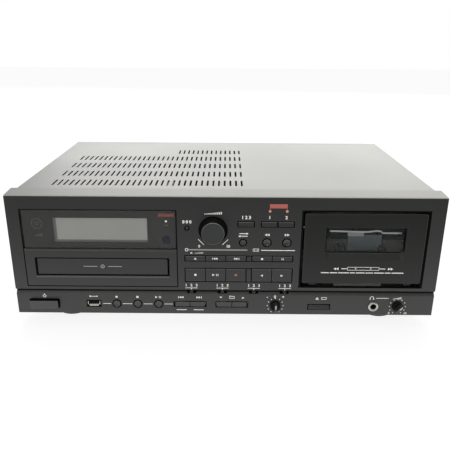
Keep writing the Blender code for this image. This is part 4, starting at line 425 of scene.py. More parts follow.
clearWindow = finish(
    "clearDoorGlass", (0.055, 0.06, 0.06), 0.06, cloud=0.03, speckle=0.03, grain=0.02, alpha=0.16,
    gloss=0.6, roughSpread=0.02,
)
print("finishes mixed:", len(bpy.data.materials))


# modelling moves, one object at a time
def deselectAll():
    for thing in bpy.context.view_layer.objects:
        thing.select_set(False)


def makeActive(piece):
    deselectAll()
    piece.select_set(True)
    bpy.context.view_layer.objects.active = piece


def settle(piece):
    makeActive(piece)
    bpy.ops.object.transform_apply(location=True, rotation=True, scale=True)
    return piece


# picks faces or edges by a test and runs one edit-mode operator on them; with no test, on everything
def reshape(piece, kind, wanted, move, **settings):
    makeActive(piece)
    bpy.ops.object.mode_set(mode="EDIT")
    bpy.ops.mesh.select_mode(type=kind)
    bpy.ops.mesh.select_all(action="DESELECT" if wanted else "SELECT")
    if wanted:
        shape = bmesh.from_edit_mesh(piece.data)
        for part in shape.edges if kind == "EDGE" else shape.faces:
            if wanted(part):
                part.select_set(True)
        bmesh.update_edit_mesh(piece.data)
    move(**settings)
    bpy.ops.object.mode_set(mode="OBJECT")


def bevelEdges(piece, wanted, offset, segments):
    reshape(piece, "EDGE", wanted, bpy.ops.mesh.bevel, offset=offset * mm, segments=segments, affect="EDGES")


def applyModifier(piece, kind, **settings):
    makeActive(piece)
    bpy.ops.object.modifier_add(type=kind)
    change = piece.modifiers[-1]
    for name, value in settings.items():
        setattr(change, name, value)
    bpy.ops.object.modifier_apply(modifier=change.name)


def softenEdges(piece, width, segments=2, angle=32):
    applyModifier(
        piece, "BEVEL", width=width * mm, segments=segments, limit_method="ANGLE",
        angle_limit=math.radians(angle), use_clamp_overlap=False,
    )


def carve(piece, cutter):
    applyModifier(piece, "BOOLEAN", operation="DIFFERENCE", object=cutter, solver="EXACT")
    bpy.data.objects.remove(cutter)


def startPiece(name, addShape, **settings):
    deselectAll()
    addShape(**settings)
    piece = bpy.context.object
    piece.name = name
    return piece


def block(name, low, high):
    piece = startPiece(name, bpy.ops.mesh.primitive_cube_add, size=1, location=(low + high) / 2)
    piece.scale = high - low
    return settle(piece)


def runsAlong(edge, axis):
    line = edge.verts[1].co - edge.verts[0].co
    return abs(line[axis]) > 0.99 * line.length


# a flat piece on the front: across = left, right; drops = top, foot; depths = front, back
def slab(name, across, drops, depths, corner=0.0, rim=0.0, steps=4):
    piece = block(name, spot(across[0], drops[1], depths[0]), spot(across[1], drops[0], depths[1]))
    front = faceY + depths[0] * mm
    if corner:
        bevelEdges(piece, lambda edge: runsAlong(edge, 1), corner, steps)
    if rim:
        bevelEdges(piece, lambda edge: all(abs(end.co.y - front) < 0.01 * mm for end in edge.verts), rim, 3)
    return piece


facings = {
    "front": (straight, 0.0, 0.0),
    "rear": (-straight, 0.0, 0.0),
    "up": (0.0, 0.0, 0.0),
    "right": (0.0, straight, 0.0),
    "left": (0.0, -straight, 0.0),
}


# a round piece drawn up ring by ring: rings are (radius, height) in mm from its back to its face
def turned(name, centre, facing, rings, steps=48):
    disc = {"vertices": steps, "radius": rings[0][0] * mm, "fill_type": "NGON"}
    piece = startPiece(name, bpy.ops.mesh.primitive_circle_add, **disc)
    bpy.ops.object.mode_set(mode="EDIT")
    bpy.ops.mesh.select_mode(type="FACE")
    bpy.ops.mesh.select_all(action="SELECT")
    bpy.ops.transform.translate(value=(0.0, 0.0, rings[0][1] * mm))
    for (radius, height), (nextRadius, nextHeight) in zip(rings, rings[1:]):
        rise = (nextHeight - height) * mm
        bpy.ops.mesh.extrude_region_move(TRANSFORM_OT_translate={"value": (0.0, 0.0, rise)})
        share = nextRadius / radius
        bpy.ops.transform.resize(value=(share, share, 1.0), center_override=(0.0, 0.0, 0.0))
    bpy.ops.mesh.select_all(action="SELECT")
    bpy.ops.mesh.normals_make_consistent(inside=False)
    bpy.ops.object.mode_set(mode="OBJECT")
    piece.rotation_euler = facings[facing]
    piece.location = centre
    return settle(piece)


def dress(piece, *materials):
    piece.data.materials.clear()
    for material in materials:
        piece.data.materials.append(material)
    return piece


# gives a second finish to the faces that the test picks
def paintFaces(piece, index, wanted):
    for face in piece.data.polygons:
        if wanted(face):
            face.material_index = index


def joinAll(name, pieces):
    deselectAll()
    for piece in pieces:
        piece.select_set(True)
    bpy.context.view_layer.objects.active = pieces[0]
    if len(pieces) > 1:
        bpy.ops.object.join()
    pieces[0].name = name
    return pieces[0]


# smooth shading, with each broad flat face kept flat where a narrow rounded edge meets it
def smooth(piece, angle=38, broad=20.0):
    def isCrease(edge):
        if len(edge.link_faces) != 2:
            return False
        small, large = sorted(face.calc_area() for face in edge.link_faces)
        return large > broad * mm * mm and small < 0.35 * large and edge.calc_face_angle() > math.radians(2)

    makeActive(piece)
    bpy.ops.object.shade_smooth_by_angle(angle=math.radians(angle))
    reshape(piece, "EDGE", isCrease, bpy.ops.mesh.mark_sharp)
    applyModifier(piece, "WEIGHTED_NORMAL", keep_sharp=True, weight=60)


def mount(piece, body, slot, *nodes):
    smooth(piece)
    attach(piece, body)
    if nodes:
        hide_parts(*nodes)
    return piece


def mergeFlats():
    bpy.ops.mesh.remove_doubles(threshold=0.002 * mm)
    bpy.ops.mesh.dissolve_limited(angle_limit=math.radians(0.5))


# a clean copy of a node's shape, ready for fine edges
def copyNode(node, name):
    piece = bpy.data.objects.new(name, frame["nodes"][node].data.copy())
    bpy.context.scene.collection.objects.link(piece)
    makeActive(piece)
    bpy.ops.mesh.customdata_custom_splitnormals_clear()
    reshape(piece, "VERT", None, mergeFlats)
    return piece


def copyPiece(stock, name, place=(0.0, 0.0, 0.0), turn=(0.0, 0.0, 0.0), scale=(1.0, 1.0, 1.0)):
    piece = bpy.data.objects.new(name, stock.data.copy())
    bpy.context.scene.collection.objects.link(piece)
    piece.location = place
    piece.rotation_euler = turn
    piece.scale = scale
    return settle(piece)


def refined(node, name, material, width, segments=2, angle=32):
    piece = copyNode(node, name)
    softenEdges(piece, width, segments, angle)
    return dress(piece, material)


# the printed marks: each shape is modelled once, 1 mm across, and copied
printThickness = 0.05


def markStock(name, corners, tilt, spread, middle=0.0):
    disc = {"vertices": corners, "radius": 1.0, "fill_type": "NGON"}
    piece = startPiece(name, bpy.ops.mesh.primitive_circle_add, **disc)
    piece.rotation_euler = (0.0, 0.0, tilt)
    settle(piece)
    piece.scale = (mm / spread[0], mm / spread[1], 1.0)
    piece.location = (-middle * mm / spread[0], 0.0, 0.0)
    settle(piece)
    rise = {"value": (0.0, 0.0, printThickness * mm)}
    reshape(piece, "FACE", None, bpy.ops.mesh.extrude_region_move, TRANSFORM_OT_translate=rise)
    reshape(piece, "FACE", None, bpy.ops.mesh.normals_make_consistent, inside=False)
    piece.rotation_euler = facings["front"]
    return settle(piece)


markShapes = {
    "bar": markStock("barStock", 4, math.radians(45), (math.sqrt(2), math.sqrt(2))),
    "arrow": markStock("arrowStock", 3, -straight, (1.5, math.sqrt(3)), 0.25),
    "dot": markStock("dotStock", 20, 0.0, (2.0, 2.0)),
}


def mark(kind, x, drop, width, height, turn=0.0, depth=0.0):
    return copyPiece(
        markShapes[kind], "mark", spot(x, drop, depth), (0.0, math.radians(turn), 0.0), (width, 1.0, height)
    )


def numeral(text, x, drop, size, depth=0.0):
    bpy.ops.object.text_add()
    piece = bpy.context.object
    letters = piece.data
    letters.body = text
    letters.size = size * mm
    letters.align_x = letters.align_y = "CENTER"
    letters.resolution_u = 3
    letters.offset = 0.035 * size * mm
    letters.extrude = printThickness / 2 * mm
    makeActive(piece)
    bpy.ops.object.convert(target="MESH")
    piece.rotation_euler = facings["front"]
    piece.location = spot(x, drop, depth)
    return settle(piece)


# each sign's marks: shape, aside, below, width, height and turn, in shares of the sign's size
signs = {
    "play": (("arrow", 0, 0, 1, 1, 0),),
    "back": (("arrow", 0, 0, 1, 1, 180),),
    "stop": (("bar", 0, 0, 0.9, 0.9, 0),),
    "dot": (("dot", 0, 0, 1, 1, 0),),
    "pause": (("bar", -0.32, 0, 0.28, 0.95, 0), ("bar", 0.32, 0, 0.28, 0.95, 0)),
    "eject": (("arrow", 0, -0.22, 0.62, 1.15, -90), ("bar", 0, 0.38, 1.15, 0.22, 0)),
    "playPause": (
        ("arrow", -0.85, 0, 1, 1, 0), ("bar", 0.35, 0, 0.26, 0.95, 0), ("bar", 0.95, 0, 0.26, 0.95, 0),
    ),
    "skipBack": (
        ("bar", -1.25, 0, 0.24, 0.95, 0), ("arrow", -0.55, 0, 0.9, 1, 180), ("arrow", 0.35, 0, 0.9, 1, 180),
    ),
    "skipForward": (
        ("arrow", -0.35, 0, 0.9, 1, 0), ("arrow", 0.55, 0, 0.9, 1, 0), ("bar", 1.25, 0, 0.24, 0.95, 0),
    ),
    "rewind": (("arrow", -0.45, 0, 0.9, 1, 180), ("arrow", 0.45, 0, 0.9, 1, 180)),
    "wind": (("arrow", -0.45, 0, 0.9, 1, 0), ("arrow", 0.45, 0, 0.9, 1, 0)),
}


# a sign centred on x and drop, as high as size
def sign(kind, x, drop, size, depth=0.0):
    return [
        mark(shape, x + aside * size, drop + below * size, width * size, height * size, turn, depth)
        for shape, aside, below, width, height, turn in signs[kind]
    ]


# a row of bars that grow to the right, for a level
def levelBars(x, drop, width, height, depth=0.0, count=9):
    bars = []
    for index in range(count):
        rise = height * (0.3 + 0.7 * index / (count - 1))
        place = x + (index - (count - 1) / 2) * width / count
        bars.append(mark("bar", place, drop + (height - rise) / 2, width / count * 0.55, rise, 0.0, depth))
    return bars


# level rules, each from a left to a right
def rules(spans, drop, thickness, depth=0.0):
    return [
        mark("bar", (left + right) / 2, drop, right - left, thickness, 0.0, depth) for left, right in spans
    ]


def boxOutline(x, drop, width, height, line, depth=0.0):
    return [
        mark("bar", x + aside * width / 2, drop + below * height / 2, wide, high, 0.0, depth)
        for aside, below, wide, high in (
            (0, -1, width, line), (0, 1, width, line), (-1, 0, line, height), (1, 0, line, height),
        )
    ]


# an outlined cassette with its two reels
def cassetteSign(x, drop, width, height, depth=0.0):
    reel = height * 0.42
    reels = [mark("dot", x + aside * width * 0.24, drop, reel, reel, 0.0, depth) for aside in (-1, 1)]
    return boxOutline(x, drop, width, height, height * 0.14, depth) + reels


# a ring of short bars, used for the disc sign and the power sign
def ringSign(x, drop, radius, line, start=0, end=360, depth=0.0, steps=16):
    bars = []
    length = math.radians(end - start) * radius / steps * 1.15
    for index in range(steps):
        turn = start + (end - start) * (index + 0.5) / steps
        angle = math.radians(turn)
        place = x + radius * math.sin(angle), drop - radius * math.cos(angle)
        bars.append(mark("bar", *place, length, line, turn, depth))
    return bars


def printOn(name, body, material, marks):
    piece = dress(joinAll(name, marks), material)
    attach(piece, body)


# front panel, with fine edges on every pocket
panelForm = {
    "rowAcross": (20.4, 27.4),
    "rowDrops": ((62.1, 68.9), (76.1, 91.9)),
    "rowDepth": 1.0,
    "edge": 0.22,
    "faceHeight": 101.5,    # the upper face, down to the groove
    "shadowDepth": 0.45,    # what lies deeper than this behind its face gets painted shade
}
stripFace = 0.9    # the lower strip lies this far behind the upper face
slidePlaces = (-35.0, -3.0, 29.5, 61.5)


# floors and walls of the pockets and grooves, behind the face, painted black as shade
def inRecess(face):
    drop, depth = dropOf(face), depthOf(face)
    if abs(face.center.x) / mm > 214 or drop < 1.0 or depth > 10.0:
        return False
    if drop < panelForm["faceHeight"]:
        return depth > panelForm["shadowDepth"]
    if drop < 104.2 and depth > 1.2:
        return True
    if drop < 105.6 and min(abs(face.center.x / mm - place) for place in slidePlaces) < 4.75:
        return True
    return 107.0 < drop < 128.0 and depth > stripFace + panelForm["shadowDepth"]


# the upper edge of the lower strip slopes forward and gets a painted highlight
def onLedge(face):
    return 104.0 < dropOf(face) < 106.6 and face.normal.z > 0.2 and face.normal.y < -0.2


# the panel's top faces get the painted sheen
def isRoof(face):
    return face.normal.z > 0.95 and dropOf(face) < 1.0


# the front corner of the top edge gets a painted highlight
def onTopEdge(face):
    return dropOf(face) < 0.7 and depthOf(face) < 0.9 and 0.5 < face.normal.z < 0.995


def makeFrontPanel(values):
    panel = copyNode("front_panel", "panel_shell")
    for drops in values["rowDrops"]:
        carve(panel, slab("rowCut", values["rowAcross"], drops, (-1.0, values["rowDepth"])))
    softenEdges(panel, values["edge"])
    dress(panel, panelPaint, recessShade, ledgeHighlight, topEdgeSheen, topSheen)
    # the panel gets painted shade in its pockets, a painted highlight on the ledge and top edge, and a
    # painted sheen on its top
    for index, wanted in ((2, onLedge), (1, inRecess), (4, isRoof), (3, onTopEdge)):
        paintFaces(panel, index, wanted)
    mount(panel, "case", "fascia", "front_panel")


makeFrontPanel(panelForm)
print("front panel softened")


# top cover: rounded folds and round-ended vent slots, with painted shade below and in the slots
cover = {"foldRadius": 1.6, "slotRadius": 0.6}


def makeCover(values):
    piece = copyNode("top_cover", "cover_shell")
    low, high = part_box("top_cover")

    def isSlotCorner(edge):
        ends = [end.co for end in edge.verts]
        inside = all(abs(end.x) < high.x - 5 * mm and end.z > high.z - 1.5 * mm for end in ends)
        return inside and runsAlong(edge, 2) and abs(ends[0].z - ends[1].z) > 0.09 * mm

    def isFold(edge):
        ends = [end.co for end in edge.verts]
        atSide = all(abs(abs(end.x) - high.x) < 0.1 * mm and end.z > high.z - 0.1 * mm for end in ends)
        return atSide and runsAlong(edge, 1)

    def isUnderside(face):
        return face.normal.z < -0.9 and face.center.z > high.z - 3 * mm

    def isSlotWall(face):
        x, y, z = face.center
        inside = abs(x) < high.x - 5 * mm and low.y + 6 * mm < y < high.y - 20 * mm
        return inside and abs(face.normal.z) < 0.3 and z > high.z - 1.4 * mm

    bevelEdges(piece, isSlotCorner, values["slotRadius"], 3)
    bevelEdges(piece, isFold, values["foldRadius"], 5)
    dress(piece, coverPaint, innerShadeSteel)
    paintFaces(piece, 1, isUnderside)
    paintFaces(piece, 1, isSlotWall)
    mount(piece, "case", "cover", "top_cover")


makeCover(cover)
print("cover folded")


# case screws: one pan head with a crossed recess, modelled once
screw = {
    "rings": ((3.6, 0.0), (3.6, 0.9), (3.2, 1.6), (2.3, 2.0)),
    "cross": (0.75, 3.4, 1.2),    # width, reach, depth
    "sidePlaces": ((70.0, 70.0), (200.0, 70.0)),
    "rearPlaces": (
        (-200.0, 8.0), (0.0, 8.0), (200.0, 8.0), (-200.0, 118.0), (0.0, 118.0), (200.0, 118.0),
        (-182.0, 62.2), (-88.0, 62.2),
    ),
}


def makeScrews(values):
    stock = turned("screwStock", (0.0, 0.0, 0.0), "up", values["rings"], 24)
    width, reach, depth = values["cross"]
    top = values["rings"][-1][1]
    for wide, long in ((width, reach), (reach, width)):
        half = Vector((wide / 2 * mm, long / 2 * mm, 0.0))
        floor = Vector((0.0, 0.0, (top - depth) * mm))
        roof = Vector((0.0, 0.0, (top + 1) * mm))
        carve(stock, block("screwCross", floor - half, roof + half))
    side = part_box("top_cover")[1].x
    heads = []
    for depth, drop in values["sidePlaces"]:
        middle = spot(0.0, drop, depth)
        for x, facing in ((side, "right"), (-side, "left")):
            heads.append(copyPiece(stock, "screw", (x, middle.y, middle.z), facings[facing]))
    mount(dress(joinAll("cover_side_screws", heads), screwBlack), "case", "cover")
    back = frontBox("rear_panel")[5]
    heads = [
        copyPiece(stock, "screw", spot(x, drop, back), facings["rear"]) for x, drop in values["rearPlaces"]
    ]
    mount(dress(joinAll("rear_panel_screws", heads), screwPale), "case", "plated_steel")
    bpy.data.objects.remove(stock)


makeScrews(screw)
print("screws driven")


# display: pale filter in a darker frame whose grey is painted shade at the display's edge, behind the smoked
# window and its mask
display = {
    "frame": ((-173.0, -77.8), (23.2, 49.8), (3.3, 4.45)),
    "filter": ((-169.4, -78.6), (23.7, 46.9), (3.1, 4.0)),
    "maskDepths": (1.86, 2.08),
    "margin": 0.3,
    "lamp": (-59.5, 26.5, 2.5),
    "lampRings": ((1.1, 0.0), (1.1, 0.2), (0.6, 0.32)),
    "eye": (-59.5, 46.2, 2.7),
    "eyeRings": ((4.9, 0.0), (4.9, 0.15), (3.8, 0.3), (2.0, 0.42)),
    "holes": (1.0, 4.4),    # in the mask, before the lamp and the eye
    "bar": (-59.4, 20.0, 15.2, 3.2),
}


def makeDisplay(values):
    margin = values["margin"]
    for name, key, material in (
        ("display_frame", "frame", displayRimShade), ("display_filter", "filter", displayFilter),
    ):
        mount(dress(slab(name, *values[key], 0.3, 0.1), material), "case", "inner_plastic")
    left, right, top, foot, _, _ = frontBox("display_window")
    across, drops = (left + margin, right - margin), (top + margin, foot - margin)
    mask = slab("display_mask", across, drops, values["maskDepths"], 0.4)
    (left, right), (top, foot), _ = values["frame"]
    front, back = values["maskDepths"]
    across, drops = (left + margin, right - margin), (top + margin, foot - margin)
    carve(mask, slab("maskCut", across, drops, (front - 1, back + 1)))
    for key, radius in zip(("lamp", "eye"), values["holes"]):
        x, drop, _ = values[key]
        carve(mask, turned("eyeCut", spot(x, drop, back), "front", ((radius, -2.0), (radius, 2.0)), 32))
    mount(dress(mask, maskGrey), "case", "inner_plastic")
    lamp = turned("disc_mode_lamp", spot(*values["lamp"]), "front", values["lampRings"], 20)
    mount(dress(lamp, whiteLamp), "case", "inner_plastic")
    eye = turned("remote_receiver_eye", spot(*values["eye"]), "front", values["eyeRings"], 32)
    mount(dress(eye, receiverBlue), "case", "inner_plastic")
    printOn("record_mark_bar", "case", redPrint, [mark("bar", *values["bar"], 0.0, front)])
    faint = []
    for radius, line, start, end in ((5.2, 0.7, 0, 360), (1.6, 0.7, 0, 360), (3.4, 0.4, 20, 70)):
        faint += ringSign(-188.4, 29.6, radius, line, start, end, front)
    faint += levelBars(-187.6, 41.5, 8.0, 3.6, front)
    faint.append(mark("bar", -59.5, 30.6, 4.0, 1.0, 0.0, front))
    printOn("faint_window_signs", "case", faintPrint, faint)


makeDisplay(display)
print("display and window set in")


# the walls behind a key's face get painted shade, and its sloped rims a painted highlight
def shadeKey(piece, node, rimHighlight):
    front = faceY + frontBox(node)[4] * mm
    piece.data.materials.append(recessShade)
    piece.data.materials.append(rimHighlight)
    paintFaces(piece, 1, lambda face: face.center.y > front + 0.5 * mm)
    paintFaces(piece, 2, lambda face: face.center.y < front + 0.5 * mm and abs(face.normal.z) > 0.35)
    return piece


# the tray's separate front, drawn in a little from its pocket
trayFront = {"share": (0.992, 1.0, 0.985), "signDrop": 75.4, "signMiddle": -125.5}


def makeTrayFront(values):
    # the lip's walls get painted shade and its sloped rims the ledge's painted highlight
    lip = shadeKey(refined("tray_front", "tray_front_cap", keyPlastic, 0.45, 3), "tray_front", ledgeHighlight)
    middle = spot(*middleOf("tray_front"))
    share = values["share"]
    lip.scale = share
    lip.location = (middle.x * (1 - share[0]), 0.0, middle.z * (1 - share[2]))
    mount(settle(lip), "tray", "fascia", "tray_front")
    front = frontBox("tray_front")[4]
    x, drop = values["signMiddle"], values["signDrop"]
    marks = ringSign(x, drop, 1.7, 0.7, 0, 360, front) + [mark("dot", x, drop, 0.9, 0.9, 0.0, front)]
    marks += rules(((-145.0, -131.0), (-120.0, -106.0)), drop, 0.6, front)
    printOn("tray_front_sign", "tray", traySignGrey, marks)


makeTrayFront(trayFront)
print("tray front made")


# level knob: black fluted side, bright rim and spun face, drawn up in one piece
levelKnob = {
    "rings": (
        (3.0, -7.7), (3.0, -1.0), (12.6, -1.0), (12.9, -0.6), (12.9, 1.4), (12.6, 1.7), (11.45, 9.5),
        (11.4, 10.0), (11.25, 10.35), (11.05, 10.5), (10.92, 10.46), (10.86, 10.3), (7.0, 10.2), (3.0, 10.15),
    ),
    "rimReach": (10.88, 11.41),
    "faceLevel": 9.9,
    "fluteStep": 3.0,
}


def makeLevelKnob(values):
    centre = spot(*middleOf("record_level_knob"))
    knob = turned("level_knob_turned", centre, "front", values["rings"], 120)
    dress(knob, knobSidePlastic, knobRimMetal, knobFacePlastic)

    def reach(place):
        return math.hypot(place.x - centre.x, place.z - centre.z) / mm

    def isFlute(face):
        middle = face.calc_center_median()
        turn = math.degrees(math.atan2(middle.z - centre.z, middle.x - centre.x)) / values["fluteStep"]
        return int(math.floor(turn)) % 2 == 0 and 11.9 < reach(middle) < 12.5 and middle.y < centre.y - 3 * mm

    reshape(
        knob, "FACE", isFlute, bpy.ops.mesh.inset, thickness=0.08 * mm, depth=-0.2 * mm, use_individual=True
    )
    inner, outer = values["rimReach"]
    front = centre.y - values["faceLevel"] * mm
    paintFaces(knob, 1, lambda face: face.center.y < front and inner < reach(face.center) < outer)
    paintFaces(knob, 2, lambda face: face.center.y < front and reach(face.center) <= inner)
    mount(knob, "record_level_knob", "knob", "record_level_knob")


makeLevelKnob(levelKnob)


# small knobs: skirt, tapered grip bar and white pointer
smallKnob = {
    "skirtRings": ((2.2, -8.0), (2.2, -1.6), (5.4, -1.6), (5.5, -1.2), (5.5, 1.5), (5.1, 2.0), (4.7, 2.15)),
    "grip": (3.0, 9.2, 7.9),    # width, length, how far it stands out
    "taper": (0.72, 1.0, 0.94),
    "turns": {"pitch_knob": 0.0, "phones_level_knob": 40.0},
    "pointer": (0.7, 4.0),
}


def makeSmallKnob(node, turn, values):
    x, drop = middleOf(node)
    centre = spot(x, drop)
    skirt = dress(turned(node + "_skirt", centre, "front", values["skirtRings"], 64), knobSidePlastic)
    width, length, proud = values["grip"]
    across, drops = (x - width / 2, x + width / 2), (drop - length / 2, drop + length / 2)
    grip = slab(node + "_grip", across, drops, (-proud, -1.9), 1.3, 0.0, 5)
    reshape(
        grip, "FACE", lambda face: face.normal.y < -0.99, bpy.ops.transform.resize,
        value=values["taper"], center_override=centre,
    )
    softenEdges(grip, 0.35, 3, 40)
    dress(grip, knobSidePlastic, gripPlastic)
    paintFaces(grip, 1, lambda face: depthOf(face) < -2.5)
    wide, long = values["pointer"]
    pointer = mark("bar", x, drop - length / 2 + long / 2 + 0.4, wide, long, 0.0, -proud)
    knob = joinAll(node + "_turned", [grip, skirt, dress(pointer, glowingWhitePrint)])
    swing = Matrix.Rotation(math.radians(turn), 4, "Y")
    knob.matrix_world = Matrix.Translation(centre) @ swing @ Matrix.Translation(-centre)
    mount(settle(knob), node, "knob", node)


for node, turn in smallKnob["turns"].items():
    makeSmallKnob(node, turn, smallKnob)
print("knobs turned")


# keys and buttons: the node's own shape with rounded edges; round ones get a dished face
keys = {
    "edge": 0.3,
    "plain": (
        "disc_eject_key", "disc_back_key", "disc_forward_key", "tape_stop_key", "tape_pause_key",
        "disc_stop_key", "disc_play_key", "disc_record_key", "tape_reverse_key", "tape_play_key",
        "source_button", "memory_record_button", "tape_record_button",
    ),
    "round": (
        "counter_reset_button", "repeat_button", "tape_rewind_button", "tape_wind_button",
        "usb_record_button", "usb_stop_button", "usb_play_button",
    ),
    "rockers": ("skip_rocker", "folder_rocker"),
    "flange": 1.5,    # a round button's hidden rim
    "dish": (0.16, 0.6),    # share of the radius, and the most
    "split": 0.35,    # half the gap down a rocker's middle
    "ejectLean": 2.2,
}


def makeRoundButton(node, values):
    left, right, _, _, front, back = frontBox(node)
    radius = (right - left) / 2 - values["flange"]
    share, most = values["dish"]
    dish = min(most, radius * share)
    face = -front
    rings = [
        (radius + values["flange"], -back), (radius + values["flange"], 1.2 - back), (radius, 1.2 - back),
        (radius, face - 0.5), (radius - 0.05, face - 0.25), (radius - 0.3, face), (radius - 0.6, face - 0.02),
        (radius * 0.72, face - dish * 0.6), (radius * 0.45, face - dish * 0.9), (radius * 0.2, face - dish),
    ]
    middle = spot(*middleOf(node))
    cap = turned(node + "_cap", middle, "front", rings)
    dress(cap, buttonFacePlastic, recessShade, keyRimHighlight)

    def reach(face):
        return math.hypot(face.center.x - middle.x, face.center.z - middle.z) / mm

    # the cap's sides get painted shade and its rim a painted highlight
    paintFaces(cap, 1, lambda face: depthOf(face) > front + 0.4 and reach(face) > radius - 0.1)
    paintFaces(cap, 2, lambda face: depthOf(face) < front + 0.4 and reach(face) > radius - 0.3)
    mount(cap, node, "key", node)


def makeKey(node, material, edge):
    # painted shade on the walls, painted highlight on the sloped rims
    key = shadeKey(refined(node, node + "_cap", material, edge, 3, 50), node, keyRimHighlight)
    mount(key, node, "key", node)


# the eject key's face leans back into its pocket
def makeEjectKey(node, values):
    _, _, top, foot, front, _ = frontBox(node)
    key = refined(node, node + "_cap", keyPlastic, values["edge"], 3, 50)
    low = faceTop - (foot - 1.4) * mm
    rise = (foot - top - 2.4) * mm
    for point in key.data.vertices:
        if point.co.y < faceY + (front + 0.6) * mm:
            point.co.y += max(0.0, (point.co.z - low) / rise) * values["ejectLean"] * mm
    # faces turned away from the front get painted shade
    key.data.materials.append(recessShade)
    paintFaces(key, 1, lambda face: face.normal.y > -0.5)
    mount(key, node, "key", node)


# two-way keys have a split down the middle
def makeRocker(node, values):
    _, _, top, foot, front, _ = frontBox(node)
    key = copyNode(node, node + "_cap")
    middle, _ = middleOf(node)
    across = (middle - values["split"], middle + values["split"])
    carve(key, slab("splitCut", across, (top - 1, foot + 1), (front - 1, front + 0.9)))
    softenEdges(key, 0.2, 2, 50)
    shadeKey(dress(key, rockerPlastic), node, keyRimHighlight)
    # the split's walls get painted shade
    paintFaces(key, 1, lambda face: abs(face.center.x / mm - middle) < values["split"] - 0.01)
    mount(key, node, "key", node)


for node in keys["plain"]:
    makeKey(node, keyPlastic, keys["edge"])
makeKey("power_button", powerPlastic, 0.5)
makeEjectKey("tape_eject_button", keys)
for node in keys["rockers"]:
    makeRocker(node, keys)
for node in keys["round"]:
    makeRoundButton(node, keys)
print("keys and buttons rounded")


# sloped sills under the tray and under the window, painted pale as a highlight: across, drops, front, slope
sills = {
    "tray_pocket_sill": ((-194.0, -57.0), (85.7, 87.5), -0.25, 0.8),
    "window_sill": ((-203.6, -49.4), (56.9, 57.8), -0.12, 0.7),
}

# the dividing blocks between the disc keys and the tape keys
dividers = {"across": (21.7, 26.1), "rows": ((63.0, 68.0), (77.0, 91.0)), "depths": (-0.3, 1.0)}


def makeSill(name, across, drops, front, slope):
    sill = slab(name, across, drops, (front, 0.6))
    place = spot(0.0, drops[0], front)

    def isUpperEdge(edge):
        ends = [end.co - place for end in edge.verts]
        return all(abs(end.y) < 0.01 * mm and abs(end.z) < 0.01 * mm for end in ends)

    bevelEdges(sill, isUpperEdge, slope, 1)
    softenEdges(sill, 0.08, 2, 30)
    mount(dress(sill, sillHighlight), "case", "fascia")


def makeDividers(values):
    blocks = [slab("divider", values["across"], row, values["depths"], 0.25, 0.25) for row in values["rows"]]
    mount(dress(joinAll("key_row_dividers", blocks), keyPlastic), "case", "fascia")


for name, measures in sills.items():
    makeSill(name, *measures)
makeDividers(dividers)


# slide switches: ribbed knobs in the groove
slide = {
    "nodes": ("timer_switch", "record_start_switch", "reverse_mode_switch", "noise_filter_switch"),
    "ribs": (-1, 0, 1),
    "ribWidth": 0.45,
    "ribPitch": 1.15,
    "ribProud": 0.3,
    "ribHeight": 1.4,
}


def makeSlide(node, values):
    front = frontBox(node)[4]
    middle, level = middleOf(node)
    # the cap's walls get painted shade and its sloped rims the lighter key plastic as a painted highlight
    parts = [shadeKey(refined(node, node + "_cap", knobSidePlastic, 0.25, 2, 50), node, keyPlastic)]
    half, reach = values["ribWidth"] / 2, values["ribHeight"]
    for step in values["ribs"]:
        x = middle + step * values["ribPitch"]
        across, drops = (x - half, x + half), (level - reach, level + reach)
        rib = slab("rib", across, drops, (front - values["ribProud"], front + 0.2), 0.0, 0.12)
        parts.append(dress(rib, keyPlastic))
    mount(joinAll(node + "_ribbed", parts), node, "key", node)


for node in slide["nodes"]:
    makeSlide(node, slide)
print("slide switches ribbed")


# sockets on the strip: lips and contacts in one, and the headphone jack's chrome nut
sockets = {
    "footLip": 4.8,    # half its width
    "sideLips": ((-6.4, -5.6), (5.6, 6.4)),
    "contacts": (-3.6, -1.2, 1.2, 3.6),
    "jackRings": ((5.3, -1.6), (5.3, 1.05), (5.0, 1.4), (4.1, 1.6), (3.5, 1.25)),
    "jackBore": ((3.2, -4.0), (3.2, 4.0)),
}


def makeSockets(values):
    _, _, top, foot, front, _ = frontBox("usb_socket")
    x, level = middleOf("usb_socket")
    depths = (front - 0.1, front + 6.0)
    reach = values["footLip"]
    lips = [slab("lip", (x - reach, x + reach), (foot - 2.5, foot - 1.1), depths, 0.15, 0.1)]
    for left, right in values["sideLips"]:
        lips.append(slab("lip", (x + left, x + right), (top + 1.2, foot - 2.6), depths, 0.15, 0.1))
    mount(dress(joinAll("usb_socket_lip", lips), creamShell), "case", "socket_metal")
    drops, depths = (level + 0.96, level + 1.15), (front + 1.5, front + 7.0)
    contacts = [slab("contact", (x + at - 0.5, x + at + 0.5), drops, depths) for at in values["contacts"]]
    mount(dress(joinAll("usb_socket_contacts", contacts), goldContact), "case", "socket_metal")
    middle = spot(*middleOf("phones_jack"), stripFace)
    nut = turned("phones_jack_nut", middle, "front", values["jackRings"], 64)
    carve(nut, turned("nutBore", middle, "front", values["jackBore"]))
    softenEdges(nut, 0.08, 2, 40)
    mount(dress(nut, chromeRing), "case", "socket_metal")


makeSockets(sockets)
print("sockets fitted")


# record lamps: two red lenses joined to a red bar by thin lines
recordLamps = {
    "places": ((43.6, 14.6), (60.4, 14.6)),
    "rings": ((1.35, -1.5), (1.35, 0.25), (1.08, 0.55), (0.54, 0.7)),
    "bar": (52.0, 9.4, 17.4, 4.3),
}


def makeRecordLamps(values):
    lamps = [turned("lamp", spot(*place), "front", values["rings"], 24) for place in values["places"]]
    mount(dress(joinAll("record_lamps", lamps), redLamp), "case", "fascia")
    _, drop, _, height = values["bar"]
    bars = [mark("bar", *values["bar"])]
    bars += [mark("bar", x, drop + height / 2 + 0.9, 0.5, 1.8) for x, _ in values["places"]]
    printOn("record_bar_print", "case", redPrint, bars)


